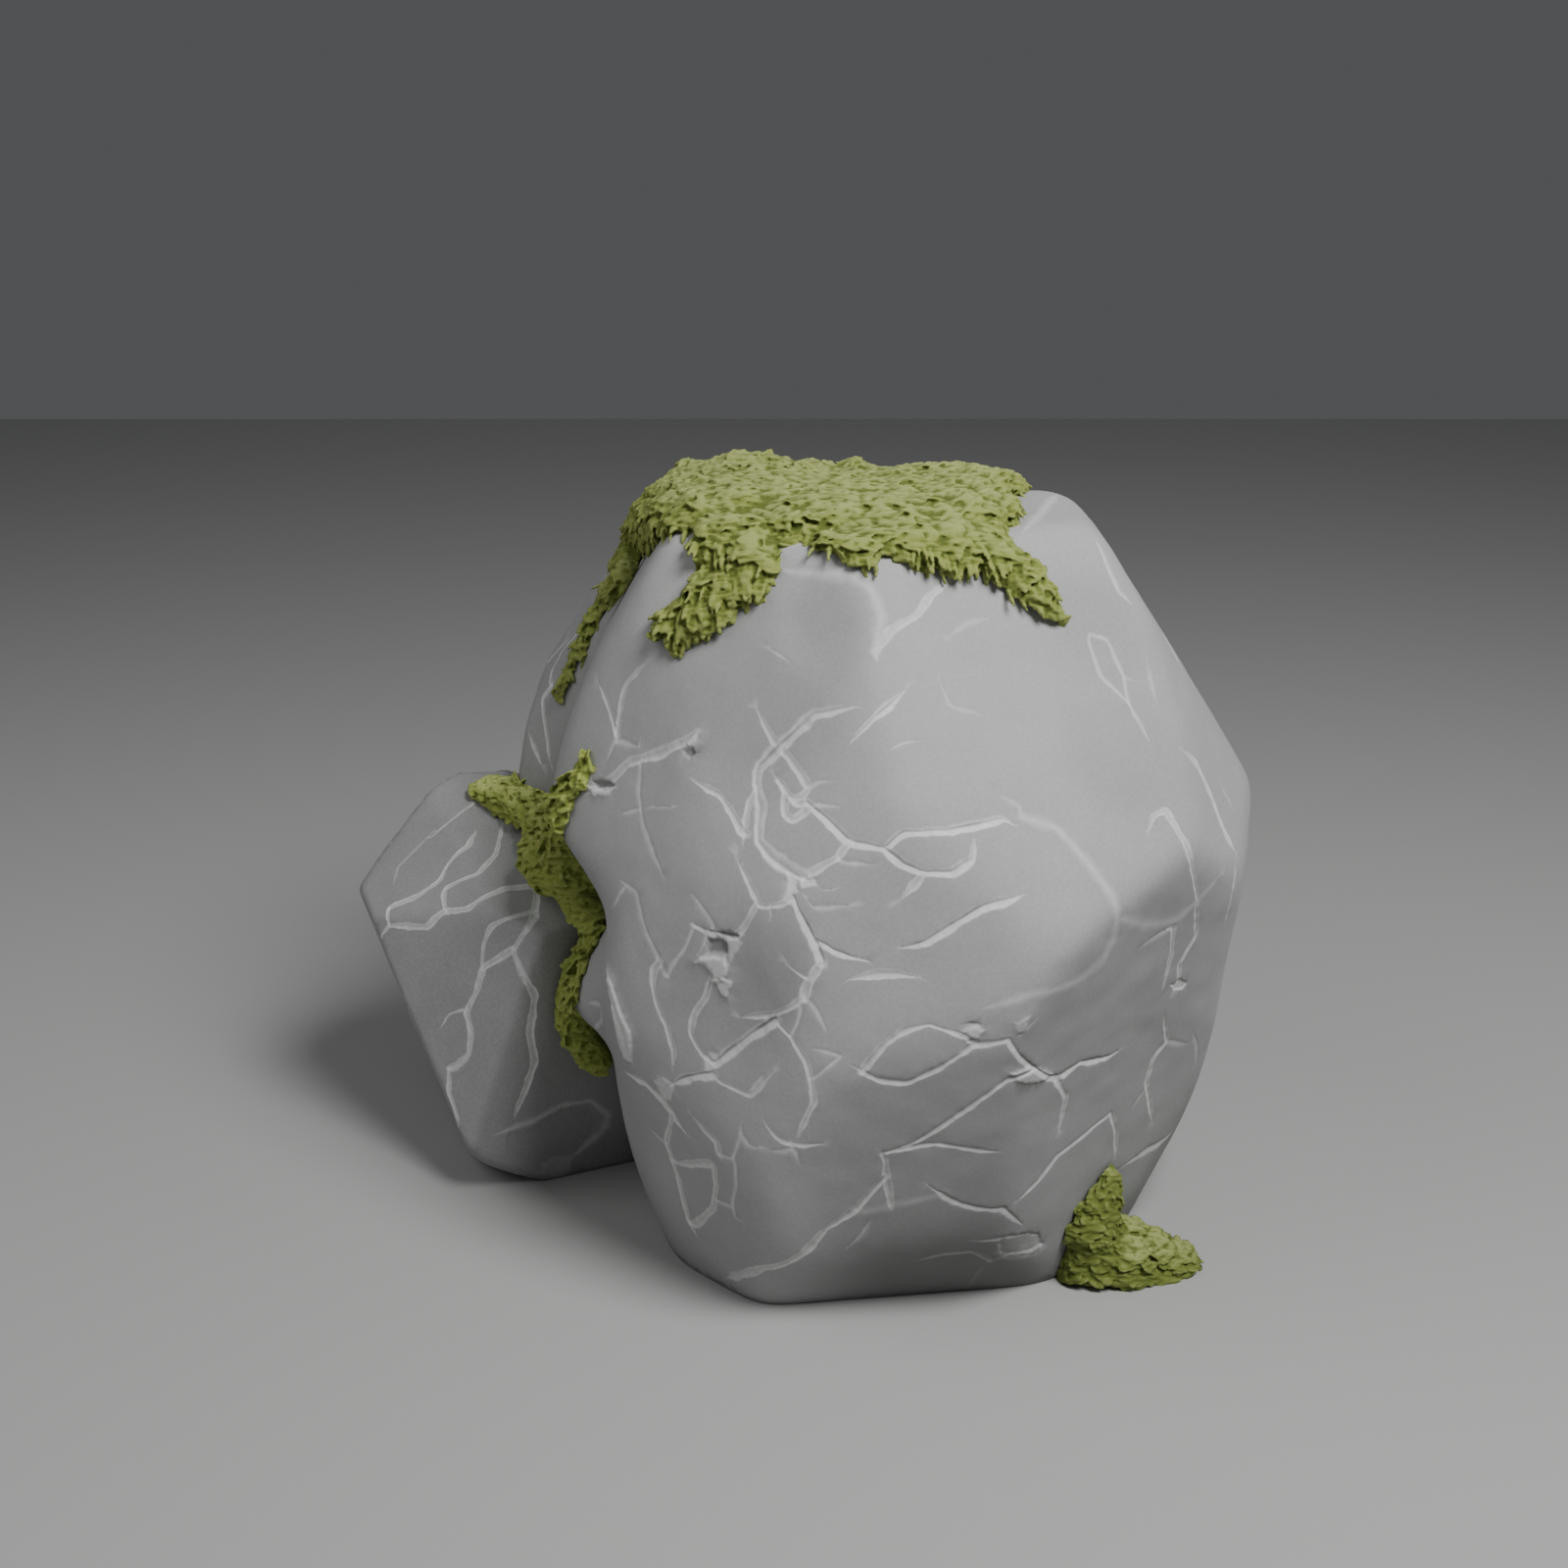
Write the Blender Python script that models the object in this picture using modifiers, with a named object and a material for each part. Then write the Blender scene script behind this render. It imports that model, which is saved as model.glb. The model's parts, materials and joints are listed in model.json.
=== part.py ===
"""A mossy rock: a boulder with two smaller stones lying against it, and three mats of moss.

+X is right, +Y is back and +Z is up, in metres. The origin is the middle of the boulder's base.
"""

import math

import bmesh
import bpy
from mathutils import Matrix, Vector, noise

# Driving dimensions, in metres.
BOULDER_CENTRE = Vector((0.0, 0.0, 0.30))
SIDE_STONE_CENTRE = Vector((-0.345, 0.115, 0.15))
BACK_STONE_CENTRE = Vector((-0.13, 0.20, 0.30))
TOP_OF_STONES = 0.60
CONTACT_GAP = 0.0004
SHARPNESS = 26
CUSHION_SPACING = 0.030
CUSHION_WIDTH = 0.034
CUSHION_THICKNESS = 0.023
THICKNESS_SWING = 0.007
SWINGS_PER_METRE = 14.0
MELT_SIZE = 0.006

# A stone is bounded by broken faces: azimuth from the front (-Y) towards +X, elevation, and
# distance from the stone's centre. The higher the sharpness, the crisper its edges.
BOULDER_FACES = (
    (0, 87, 0.309),
    (-24, 26, 0.266),
    (22, 31, 0.268),
    (62, 25, 0.289),
    (91, 33, 0.287),
    (92, 44, 0.328),
    (78, -6, 0.282),
    (66, -22, 0.306),
    (42, -12, 0.260),
    (-3, 8, 0.268),
    (2, -6, 0.270),
    (8, -24, 0.292),
    (7, -57, 0.370),
    (-36, -50, 0.390),
    (-54, -42, 0.390),
    (-70, -26, 0.330),
    (-48, 14, 0.266),
    (-90, 18, 0.294),
    (-93, 31, 0.304),
    (-78, -14, 0.267),
    (-46, -16, 0.290),
    (140, 10, 0.270),
    (180, 25, 0.260),
    (165, -25, 0.280),
    (-140, 5, 0.250),
    (-150, -35, 0.290),
    (110, -35, 0.332),
    (120, 45, 0.318),
    (180, 60, 0.290),
    (0, -90, 0.337),
)
SIDE_STONE_FACES = (
    (-12, 72, 0.133),
    (-94, 35, 0.149),
    (-50, 40, 0.122),
    (-20, -1, 0.112),
    (-78, 2, 0.124),
    (-71, -17, 0.088),
    (-55, -39, 0.138),
    (-30, -55, 0.166),
    (25, -8, 0.138),
    (90, 0, 0.130),
    (180, 10, 0.114),
    (130, 45, 0.160),
    (-130, 15, 0.129),
    (180, -40, 0.150),
    (0, -90, 0.170),
)
BACK_STONE_FACES = (
    (0, 86, 0.300),
    (-90, 10, 0.200),
    (-88, 36, 0.204),
    (-95, -20, 0.212),
    (-50, 10, 0.185),
    (0, 0, 0.120),
    (180, 5, 0.130),
    (170, 50, 0.200),
    (-140, 0, 0.172),
    (90, 5, 0.150),
    (130, 20, 0.160),
    (180, -30, 0.160),
    (0, -90, 0.310),
)
# Where a stone swells out or is hollowed: azimuth, elevation, spread in degrees and height.
BOULDER_SWELLS = (
    (-98, -5, 17, -0.062),
    (-74, 1, 9, -0.035),
    (-64, 0, 8, -0.017),
    (-76, -19, 7, 0.026),
    (-72, -47, 12, 0.012),
)
# The edge of the moss cap, seen from above.
CAP_OUTLINE = [
    (-0.152, -0.076),
    (-0.095, -0.092),
    (-0.040, -0.118),
    (0.010, -0.125),
    (0.050, -0.122),
    (0.068, -0.070),
    (0.074, -0.010),
    (0.092, 0.070),
    (0.050, 0.125),
    (-0.020, 0.110),
    (-0.080, 0.150),
    (-0.150, 0.175),
    (-0.200, 0.150),
    (-0.215, 0.080),
    (-0.186, 0.000),
]
# Cushions of moss set on the skin of a stone: where, how wide and how thick.
TONGUES = [
    (-0.075, -0.102, 0.595, 0.024, 0.020),
    (-0.115, -0.122, 0.575, 0.030, 0.018),
    (-0.138, -0.122, 0.558, 0.028, 0.018),
    (-0.150, -0.122, 0.548, 0.026, 0.016),
    (-0.165, -0.122, 0.535, 0.020, 0.014),
    (-0.178, -0.115, 0.537, 0.015, 0.012),
    (0.066, -0.118, 0.583, 0.022, 0.018),
    (0.084, -0.124, 0.570, 0.020, 0.016),
    (0.098, -0.128, 0.557, 0.016, 0.013),
    (0.110, -0.131, 0.545, 0.011, 0.010),
    (-0.200, 0.120, 0.580, 0.038, 0.032),
    (-0.214, 0.145, 0.562, 0.034, 0.028),
    (-0.225, 0.140, 0.535, 0.026, 0.020),
    (-0.225, 0.100, 0.515, 0.022, 0.018),
    (-0.238, 0.120, 0.498, 0.019, 0.016),
    (-0.248, 0.115, 0.475, 0.017, 0.015),
    (-0.260, 0.115, 0.452, 0.015, 0.013),
    (-0.272, 0.118, 0.430, 0.013, 0.011),
    (-0.282, 0.122, 0.412, 0.010, 0.009),
]
# Cushions packed in a seam or heaped on the ground: where, how wide and how thick.
SEAM_CUSHIONS = [
    (-0.352, 0.165, 0.306, 0.022, 0.014),
    (-0.328, 0.145, 0.308, 0.028, 0.018),
    (-0.305, 0.115, 0.308, 0.030, 0.020),
    (-0.288, 0.075, 0.305, 0.028, 0.022),
    (-0.285, 0.025, 0.296, 0.030, 0.028),
    (-0.278, -0.010, 0.305, 0.029, 0.029),
    (-0.264, -0.022, 0.300, 0.026, 0.028),
    (-0.270, -0.035, 0.330, 0.021, 0.022),
    (-0.266, -0.048, 0.352, 0.019, 0.020),
    (-0.261, -0.062, 0.373, 0.017, 0.020),
    (-0.253, -0.076, 0.394, 0.014, 0.018),
    (-0.243, -0.088, 0.414, 0.009, 0.014),
    (-0.260, -0.018, 0.280, 0.021, 0.021),
    (-0.247, -0.030, 0.265, 0.017, 0.017),
    (-0.241, -0.038, 0.252, 0.014, 0.014),
    (-0.246, -0.035, 0.240, 0.014, 0.014),
    (-0.253, -0.030, 0.226, 0.016, 0.016),
    (-0.260, -0.024, 0.208, 0.018, 0.018),
    (-0.266, -0.018, 0.188, 0.019, 0.018),
    (-0.268, -0.014, 0.168, 0.019, 0.018),
    (-0.264, -0.012, 0.150, 0.018, 0.017),
    (-0.256, -0.008, 0.135, 0.017, 0.016),
    (-0.246, -0.002, 0.120, 0.014, 0.013),
]
FOOT_CUSHIONS = [
    (0.165, -0.146, 0.094, 0.014, 0.016),
    (0.158, -0.144, 0.076, 0.026, 0.022),
    (0.152, -0.146, 0.052, 0.030, 0.024),
    (0.158, -0.143, 0.020, 0.032, 0.034),
    (0.180, -0.138, 0.014, 0.036, 0.032),
    (0.204, -0.132, 0.008, 0.032, 0.026),
    (0.226, -0.130, 0.003, 0.024, 0.017),
]


def bearing(azimuth, elevation):
    """The direction at an azimuth from the front and an elevation above the horizon, in degrees."""
    a, e = math.radians(azimuth), math.radians(elevation)
    return Vector((math.sin(a) * math.cos(e), -math.cos(a) * math.cos(e), math.sin(e)))


def new_collection(name):
    collection = bpy.data.collections.new(name)
    bpy.context.scene.collection.children.link(collection)
    return collection


def new_material(name, colour, roughness):
    material = bpy.data.materials.new(name)
    material.use_nodes = True
    shader = material.node_tree.nodes["Principled BSDF"]
    shader.inputs["Base Color"].default_value = (*colour, 1.0)
    shader.inputs["Roughness"].default_value = roughness
    shader.inputs["Metallic"].default_value = 0.0
    material.diffuse_color = (*colour, 1.0)
    return material


def new_object(name, bm, material, collection):
    mesh = bpy.data.meshes.new(name)
    bm.to_mesh(mesh)
    bm.free()
    mesh.materials.append(material)
    obj = bpy.data.objects.new(name, mesh)
    collection.objects.link(obj)
    return obj


def reach(direction, faces, swells=()):
    """How far a stone's skin lies from its centre: its flat faces with softened edges, then its swells."""
    lean = 0.0
    for azimuth, elevation, distance in faces:
        lean += max(bearing(azimuth, elevation).dot(direction) / distance, 0.0) ** SHARPNESS
    radius = lean ** (-1.0 / SHARPNESS)
    for azimuth, elevation, spread, height in swells:
        turn = math.degrees(bearing(azimuth, elevation).angle(direction))
        radius += height * math.exp(-((turn / spread) ** 2))
    return radius


def stone(name, centre, faces, swells, grid, material, collection):
    """A cube's grid is blown out to the stone's faces, and its foot is cut flat at the ground."""
    bm = bmesh.new()
    bmesh.ops.create_cube(bm, size=2.0)
    bmesh.ops.subdivide_edges(bm, edges=bm.edges[:], cuts=grid - 1, use_grid_fill=True)
    for vert in bm.verts:
        direction = Vector(math.tan(c * math.pi / 4) for c in vert.co).normalized()
        vert.co = centre + direction * reach(direction, faces, swells)
    everything = bm.verts[:] + bm.edges[:] + bm.faces[:]
    cut = bmesh.ops.bisect_plane(
        bm, geom=everything, plane_co=(0, 0, 0), plane_no=(0, 0, -1), clear_outer=True
    )
    rim = [edge for edge in cut["geom_cut"] if isinstance(edge, bmesh.types.BMEdge)]
    bmesh.ops.contextual_create(bm, geom=rim)
    bmesh.ops.triangulate(bm, faces=bm.faces[:])
    bmesh.ops.recalc_face_normals(bm, faces=bm.faces[:])
    obj = new_object(name, bm, material, collection)
    obj.data.shade_smooth()
    return obj


def new_ground(collection):
    """A block below the ground, to cut the foot moss flat."""
    bm = bmesh.new()
    bmesh.ops.create_cube(bm, size=1.0, matrix=Matrix.Translation((0, 0, -0.5)))
    earth = new_material("earth", (0.2, 0.15, 0.1), 1.0)
    ground = new_object("ground_cutter", bm, earth, collection)
    ground.hide_render = True
    ground.display_type = "WIRE"
    return ground


def swollen(obj, collection):
    """A copy of a stone grown by the contact gap, to cut whatever lies against it."""
    copy = obj.copy()
    copy.data = obj.data.copy()
    copy.name = obj.name + "_cutter"
    collection.objects.link(copy)
    for vert in copy.data.vertices:
        vert.co += vert.normal * CONTACT_GAP
    copy.hide_render = True
    copy.display_type = "WIRE"
    return copy


def cut_by(obj, cutters):
    """Cuts a piece clear of whatever it lies against."""
    for cutter in cutters:
        modifier = obj.modifiers.new("clear_of_" + cutter.name, "BOOLEAN")
        modifier.operation = "DIFFERENCE"
        modifier.solver = "EXACT"
        modifier.object = cutter


def nearest_skin(point, stones):
    """The nearest place on any of the stones, and the way its skin faces there."""
    best = None
    for obj in stones:
        _, place, normal, _ = obj.closest_point_on_mesh(point)
        if best is None or (place - point).length < (best[0] - point).length:
            best = (place, normal)
    return best


def inside(x, y, outline):
    """Whether a place is inside an outline: a line from it crosses the outline an odd number of times."""
    crossings = 0
    for (x1, y1), (x2, y2) in zip(outline, outline[1:] + outline[:1]):
        if (y1 > y) != (y2 > y) and x < x1 + (y - y1) * (x2 - x1) / (y2 - y1):
            crossings += 1
    return crossings % 2 == 1


def cap_cushions():
    """Cushions in staggered rows all over the cap's outline, thicker and thinner by turns."""
    cushions = []
    for row in range(-5, 8):
        for column in range(-9, 6):
            x = CUSHION_SPACING * (column + 0.5 * (row % 2))
            y = CUSHION_SPACING * row
            if inside(x, y, CAP_OUTLINE):
                swing = noise.noise(Vector((x, y, 0.0)) * SWINGS_PER_METRE)
                thickness = CUSHION_THICKNESS + THICKNESS_SWING * swing
                cushions.append((x, y, TOP_OF_STONES, CUSHION_WIDTH, thickness))
    return cushions


def on_skin(cushions, stones):
    """Sets each cushion on the nearest skin of a stone, lying flat along it."""
    laid = []
    for x, y, z, width, thickness in cushions:
        place, normal = nearest_skin(Vector((x, y, z)), stones)
        laid.append((place, normal, width, thickness))
    return laid


def heaped(cushions):
    """Leaves each cushion where it is, upright."""
    upright = Vector((0, 0, 1))
    return [(Vector((x, y, z)), upright, width, thickness) for x, y, z, width, thickness in cushions]


def moss(name, cushions, cutters, share_kept, material, collection):
    """Flattened cushions, melted into one mat and cut clear of the stones."""
    bm = bmesh.new()
    for place, normal, width, thickness in cushions:
        turn = normal.to_track_quat("Z", "Y").to_matrix().to_4x4()
        size = Matrix.Diagonal((width, width, thickness, 1.0))
        matrix = Matrix.Translation(place) @ turn @ size
        bmesh.ops.create_icosphere(bm, subdivisions=2, radius=1.0, matrix=matrix)
    obj = new_object(name, bm, material, collection)
    melt = obj.modifiers.new("melt", "REMESH")
    melt.mode = "VOXEL"
    melt.voxel_size = MELT_SIZE
    soften = obj.modifiers.new("soften", "SMOOTH")
    soften.iterations = 3
    coarsen = obj.modifiers.new("coarsen", "DECIMATE")
    coarsen.ratio = share_kept
    cut_by(obj, cutters)
    return obj


def clear_scene():
    for old in list(bpy.data.objects):
        bpy.data.objects.remove(old)


def stones_of(collection):
    """The three stones, each in its own grey."""
    boulder_grey = new_material("boulder_grey", (0.32, 0.32, 0.32), 0.85)
    side_grey = new_material("side_stone_grey", (0.28, 0.28, 0.28), 0.85)
    back_grey = new_material("back_stone_grey", (0.30, 0.30, 0.30), 0.85)
    return (
        stone("boulder", BOULDER_CENTRE, BOULDER_FACES, BOULDER_SWELLS, 17, boulder_grey, collection),
        stone("side_stone", SIDE_STONE_CENTRE, SIDE_STONE_FACES, (), 10, side_grey, collection),
        stone("back_stone", BACK_STONE_CENTRE, BACK_STONE_FACES, (), 10, back_grey, collection),
    )


def mats_on(stones, stone_cutters, ground, collection):
    """The three mats of moss, each in its own green."""
    cap_green = new_material("cap_green", (0.22, 0.26, 0.08), 0.9)
    seam_green = new_material("seam_green", (0.14, 0.17, 0.05), 0.9)
    foot_green = new_material("foot_green", (0.18, 0.22, 0.06), 0.9)
    cap = on_skin(cap_cushions() + TONGUES, stones)
    moss("moss_cap", cap, stone_cutters, 0.10, cap_green, collection)
    moss("seam_moss", heaped(SEAM_CUSHIONS), stone_cutters, 0.13, seam_green, collection)
    moss("foot_moss", heaped(FOOT_CUSHIONS), [stone_cutters[0], ground], 0.2, foot_green, collection)


clear_scene()
parts = new_collection("mossy_rock")
cutters = new_collection("cutters")
cutters.hide_render = True
boulder, side_stone, back_stone = stones_of(parts)
boulder_cutter = swollen(boulder, cutters)
side_cutter = swollen(side_stone, cutters)
back_cutter = swollen(back_stone, cutters)
cut_by(back_stone, [boulder_cutter])
cut_by(side_stone, [boulder_cutter, back_cutter])
mats_on(
    (boulder, side_stone, back_stone),
    [boulder_cutter, side_cutter, back_cutter],
    new_ground(cutters),
    parts,
)
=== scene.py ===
# %% [markdown]
# # A mossy rock
#
# The real thing is a boulder about 57 cm wide, with a smaller stone leaning on its left side
# and a third one behind. A web of old cracks runs over the grey stone, worn pale along its
# edges, and moss has spread over the top, down the seam between the stones and round one foot.
#
# The solids come first, packed as a fixed frame, so the script starts by loading them.

# %% Load the frame
import json
import math

import bmesh
import bpy
import numpy as np
from mathutils import Matrix, Vector, noise
from mathutils.bvhtree import BVHTree
from mathutils.geometry import delaunay_2d_cdt

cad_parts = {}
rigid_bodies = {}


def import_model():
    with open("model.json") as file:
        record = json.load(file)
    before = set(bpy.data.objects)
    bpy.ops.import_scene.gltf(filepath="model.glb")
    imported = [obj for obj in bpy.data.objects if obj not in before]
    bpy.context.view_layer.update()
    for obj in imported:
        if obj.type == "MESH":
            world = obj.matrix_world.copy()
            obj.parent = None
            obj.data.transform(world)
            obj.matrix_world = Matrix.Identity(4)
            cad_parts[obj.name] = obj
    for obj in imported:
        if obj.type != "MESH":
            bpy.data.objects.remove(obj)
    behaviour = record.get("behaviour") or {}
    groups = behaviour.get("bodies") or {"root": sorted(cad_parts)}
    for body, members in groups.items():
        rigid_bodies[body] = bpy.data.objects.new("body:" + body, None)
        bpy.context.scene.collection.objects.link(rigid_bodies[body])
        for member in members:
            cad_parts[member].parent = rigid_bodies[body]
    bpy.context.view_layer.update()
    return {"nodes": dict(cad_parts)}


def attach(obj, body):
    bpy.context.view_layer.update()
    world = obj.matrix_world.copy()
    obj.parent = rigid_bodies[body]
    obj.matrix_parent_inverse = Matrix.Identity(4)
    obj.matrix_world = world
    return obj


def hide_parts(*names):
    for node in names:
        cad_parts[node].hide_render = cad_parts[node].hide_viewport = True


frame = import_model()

MM = 0.001

# %% [markdown]
# ## The camera
#
# The camera stands in front of the stones and looks a little down on them. It comes first,
# because the cracks are drawn as they look from it and then laid on the stone. That is how a
# carver would work from one side: draw on the face, and let the stone give the depth.

# %% Set up the camera
VIEW_ELEVATION = math.radians(19.0)
VIEW_DISTANCE = 1.78
VIEW_AIM = np.array((-0.09, 0.0, 0.37))
LENS = 50.0
SENSOR = 36.0
FRAME_SIDE = 1600
LOOK = np.array((0.0, math.cos(VIEW_ELEVATION), -math.sin(VIEW_ELEVATION)))
RIGHT = np.array((1.0, 0.0, 0.0))
UP = np.array((0.0, math.sin(VIEW_ELEVATION), math.cos(VIEW_ELEVATION)))
EYE = VIEW_AIM - VIEW_DISTANCE * LOOK

camera = bpy.data.objects.new("camera", bpy.data.cameras.new("camera"))
camera.data.lens = LENS
camera.data.sensor_width = SENSOR
camera.location = EYE
camera.rotation_euler = (math.pi / 2 - VIEW_ELEVATION, 0.0, 0.0)
bpy.context.scene.collection.objects.link(camera)
bpy.context.scene.camera = camera
print("camera at", EYE.round(3))

# %% Look through a place in the camera's frame
def sight_lines(spots):
    """Directions from the eye through places in its frame: x to the right, y down."""
    away = (np.asarray(spots, float) - FRAME_SIDE / 2) / FRAME_SIDE * SENSOR / LENS
    lines = LOOK + away[:, :1] * RIGHT - away[:, 1:] * UP
    return lines / np.linalg.norm(lines, axis=1, keepdims=True)


print("the middle of the frame looks along", sight_lines([(800, 800)])[0].round(3))

# %% [markdown]
# ## The form of a stone
#
# A broken stone is a rough ball bounded by the faces it split along. Each face is a direction
# (azimuth from the front, elevation) and a distance from the stone's centre. The skin lies
# where the nearest faces are, blended by a high power, so that the edges between them are
# soft, as weather leaves them. It could be sculpted, but a rule like this gives the same
# stone each time, and says how far the skin is in any direction.

# %% The faces of the three stones
SHARPNESS = {"boulder": 48, "side_stone": 80, "back_stone": 60}
TRIM = 0.993
BOULDER_FACES = (
    (0, 87, 0.309), (-27, 24, 0.266), (22, 31, 0.268), (65, 22, 0.289), (91, 33, 0.287),
    (92, 44, 0.328), (78, -6, 0.282), (66, -22, 0.306), (42, -12, 0.260), (-3, 8, 0.268),
    (-32, 3, 0.265), (3, -13, 0.277), (8, -36, 0.321), (7, -57, 0.370), (-36, -50, 0.390), (-54, -42, 0.390),
    (-70, -26, 0.330), (-48, 14, 0.266), (-90, 18, 0.294), (-93, 31, 0.304), (-78, -14, 0.267),
    (-46, -16, 0.290), (140, 10, 0.270), (180, 25, 0.260), (165, -25, 0.280), (-140, 5, 0.250),
    (-150, -35, 0.290), (110, -35, 0.332), (120, 45, 0.318), (180, 60, 0.290), (0, -90, 0.337),
)
SIDE_STONE_FACES = (
    (-12, 72, 0.133), (-94, 35, 0.149), (-50, 48, 0.122), (-35, 12, 0.104), (-78, 2, 0.124),
    (-71, -17, 0.088), (-55, -39, 0.138), (-30, -55, 0.166), (25, -8, 0.138), (90, 0, 0.130),
    (180, 10, 0.114), (130, 45, 0.160), (-130, 15, 0.129), (180, -40, 0.150), (0, -90, 0.170),
)
BACK_STONE_FACES = (
    (0, 86, 0.300), (-90, 10, 0.200), (-88, 36, 0.204), (-95, -20, 0.212), (-50, 10, 0.185),
    (0, 0, 0.120), (180, 5, 0.130), (170, 50, 0.200), (-140, 0, 0.172), (90, 5, 0.150),
    (130, 20, 0.160), (180, -30, 0.160), (0, -90, 0.310),
)
# Where the boulder is hollowed or swells: azimuth, elevation, spread in degrees and height.
BOULDER_SWELLS = (
    (-98, -5, 17, -0.062), (-74, -1, 8.4, -0.034), (-64, -2, 8, -0.017),
    (-76, -19, 7, 0.026), (-72, -47, 12, 0.012),
)
STONES = {
    "boulder": (np.array((0.0, 0.0, 0.30)), BOULDER_FACES, BOULDER_SWELLS),
    "side_stone": (np.array((-0.345, 0.115, 0.15)), SIDE_STONE_FACES, ()),
    "back_stone": (np.array((-0.13, 0.20, 0.30)), BACK_STONE_FACES, ()),
}

print({stone: len(faces) for stone, (_, faces, _) in STONES.items()}, "faces")

# %% How far the skin is in any direction
def bearing(azimuth, elevation):
    a, e = np.radians(azimuth), np.radians(elevation)
    return np.array((np.sin(a) * np.cos(e), -np.cos(a) * np.cos(e), np.sin(e))).T


def reach(stone, directions):
    """The distance from a stone's centre to its skin, along each direction."""
    _, faces, swells = STONES[stone]
    rows = np.array(faces, float)
    toward = bearing(rows[:, 0], rows[:, 1]) / rows[:, 2:]
    power = SHARPNESS[stone]
    radius = (np.maximum(directions @ toward.T, 0.0) ** power).sum(1) ** (-1 / power)
    radius *= TRIM
    for azimuth, elevation, spread, height in swells:
        cosine = np.clip(directions @ bearing(azimuth, elevation), -1.0, 1.0)
        radius += height * np.exp(-((np.degrees(np.arccos(cosine)) / spread) ** 2))
    return radius


def skin(stone, directions):
    return STONES[stone][0] + directions * reach(stone, directions)[:, None]


def unit(vectors):
    return vectors / np.linalg.norm(vectors, axis=-1, keepdims=True)


def onto_skin(stone, points):
    """Moves points straight out from, or in towards, the stone's centre until they are on it."""
    return skin(stone, unit(points - STONES[stone][0]))


def depth_inside(stone, points):
    """How far points are below a stone's skin; less than nothing outside it."""
    away = points - STONES[stone][0]
    return reach(stone, unit(away)) - np.linalg.norm(away, axis=1)


for name in STONES:
    print(name, "reaches", reach(name, bearing([0, 90, 180, 270], [0, 0, 0, 0])).round(3))

# %% Find what a sight line meets
# A sight line is followed in steps, in metres from the eye, and the last step is halved again and again.
FIRST_LOOK, LAST_LOOK, LOOK_STEP, HALVINGS = 1.25, 2.35, 0.005, 12


def first_met(spots):
    """For places in the camera's frame: the name of the stone met there and the place on it."""
    lines = sight_lines(spots)
    nearest = np.full(len(lines), LAST_LOOK)
    met = np.full(len(lines), "", dtype=object)
    for stone in STONES:
        for travel in np.arange(FIRST_LOOK, LAST_LOOK, LOOK_STEP):
            new = (depth_inside(stone, EYE + lines * travel) > 0) & (travel < nearest)
            nearest[new] = travel
            met[new] = stone
    low, high = nearest - LOOK_STEP, nearest.copy()
    for _ in range(HALVINGS):
        middle = (low + high) / 2
        for stone in STONES:
            mine = met == stone
            if mine.any():
                deep = depth_inside(stone, EYE + lines[mine] * middle[mine, None]) > 0
                high[mine] = np.where(deep, middle[mine], high[mine])
                low[mine] = np.where(deep, low[mine], middle[mine])
    return met, EYE + lines * high[:, None]


print("the middle of the frame meets", *first_met([(800, 800)]))

# %% [markdown]
# ## The cracks
#
# The cracks are what tells this rock from any other, so each one that faces the camera is
# drawn as the corners it passes through in the camera's frame. Weather has opened
# them in different ways. A rift has one lip standing over the other, with a slit under it that
# is painted dark as shade. A crack is a shallow groove with two worn rims, a hairline is a thin one,
# and a ghost is almost healed. A ridge is no groove at all, only an edge between two faces, worn pale.

# %% Kinds of crack
# Half-width in mm, depth as a share of it, how dark the painted shade down its slit is, and how pale its wear
# is.
KINDS = {
    "rift": (4.3, 0.38, 0.4, 1.0),
    "slit": (3.4, 0.36, 0.3, 1.0),
    "cleft": (3.9, 0.32, 0.0, 0.95),
    "crack": (2.9, 0.3, 0.0, 0.9),
    "hairline": (2.2, 0.26, 0.0, 0.75),
    "ghost": (2.4, 0.08, 0.0, 0.4),
    "ridge": (5.0, -0.03, 0.0, 0.5),
}
# The smaller stones split finer than the boulder.
FINER = {"boulder": 1.0, "side_stone": 0.76, "back_stone": 0.8}
print(len(KINDS), "kinds of crack, the widest", 2 * max(kind[0] for kind in KINDS.values()), "mm across")

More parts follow.
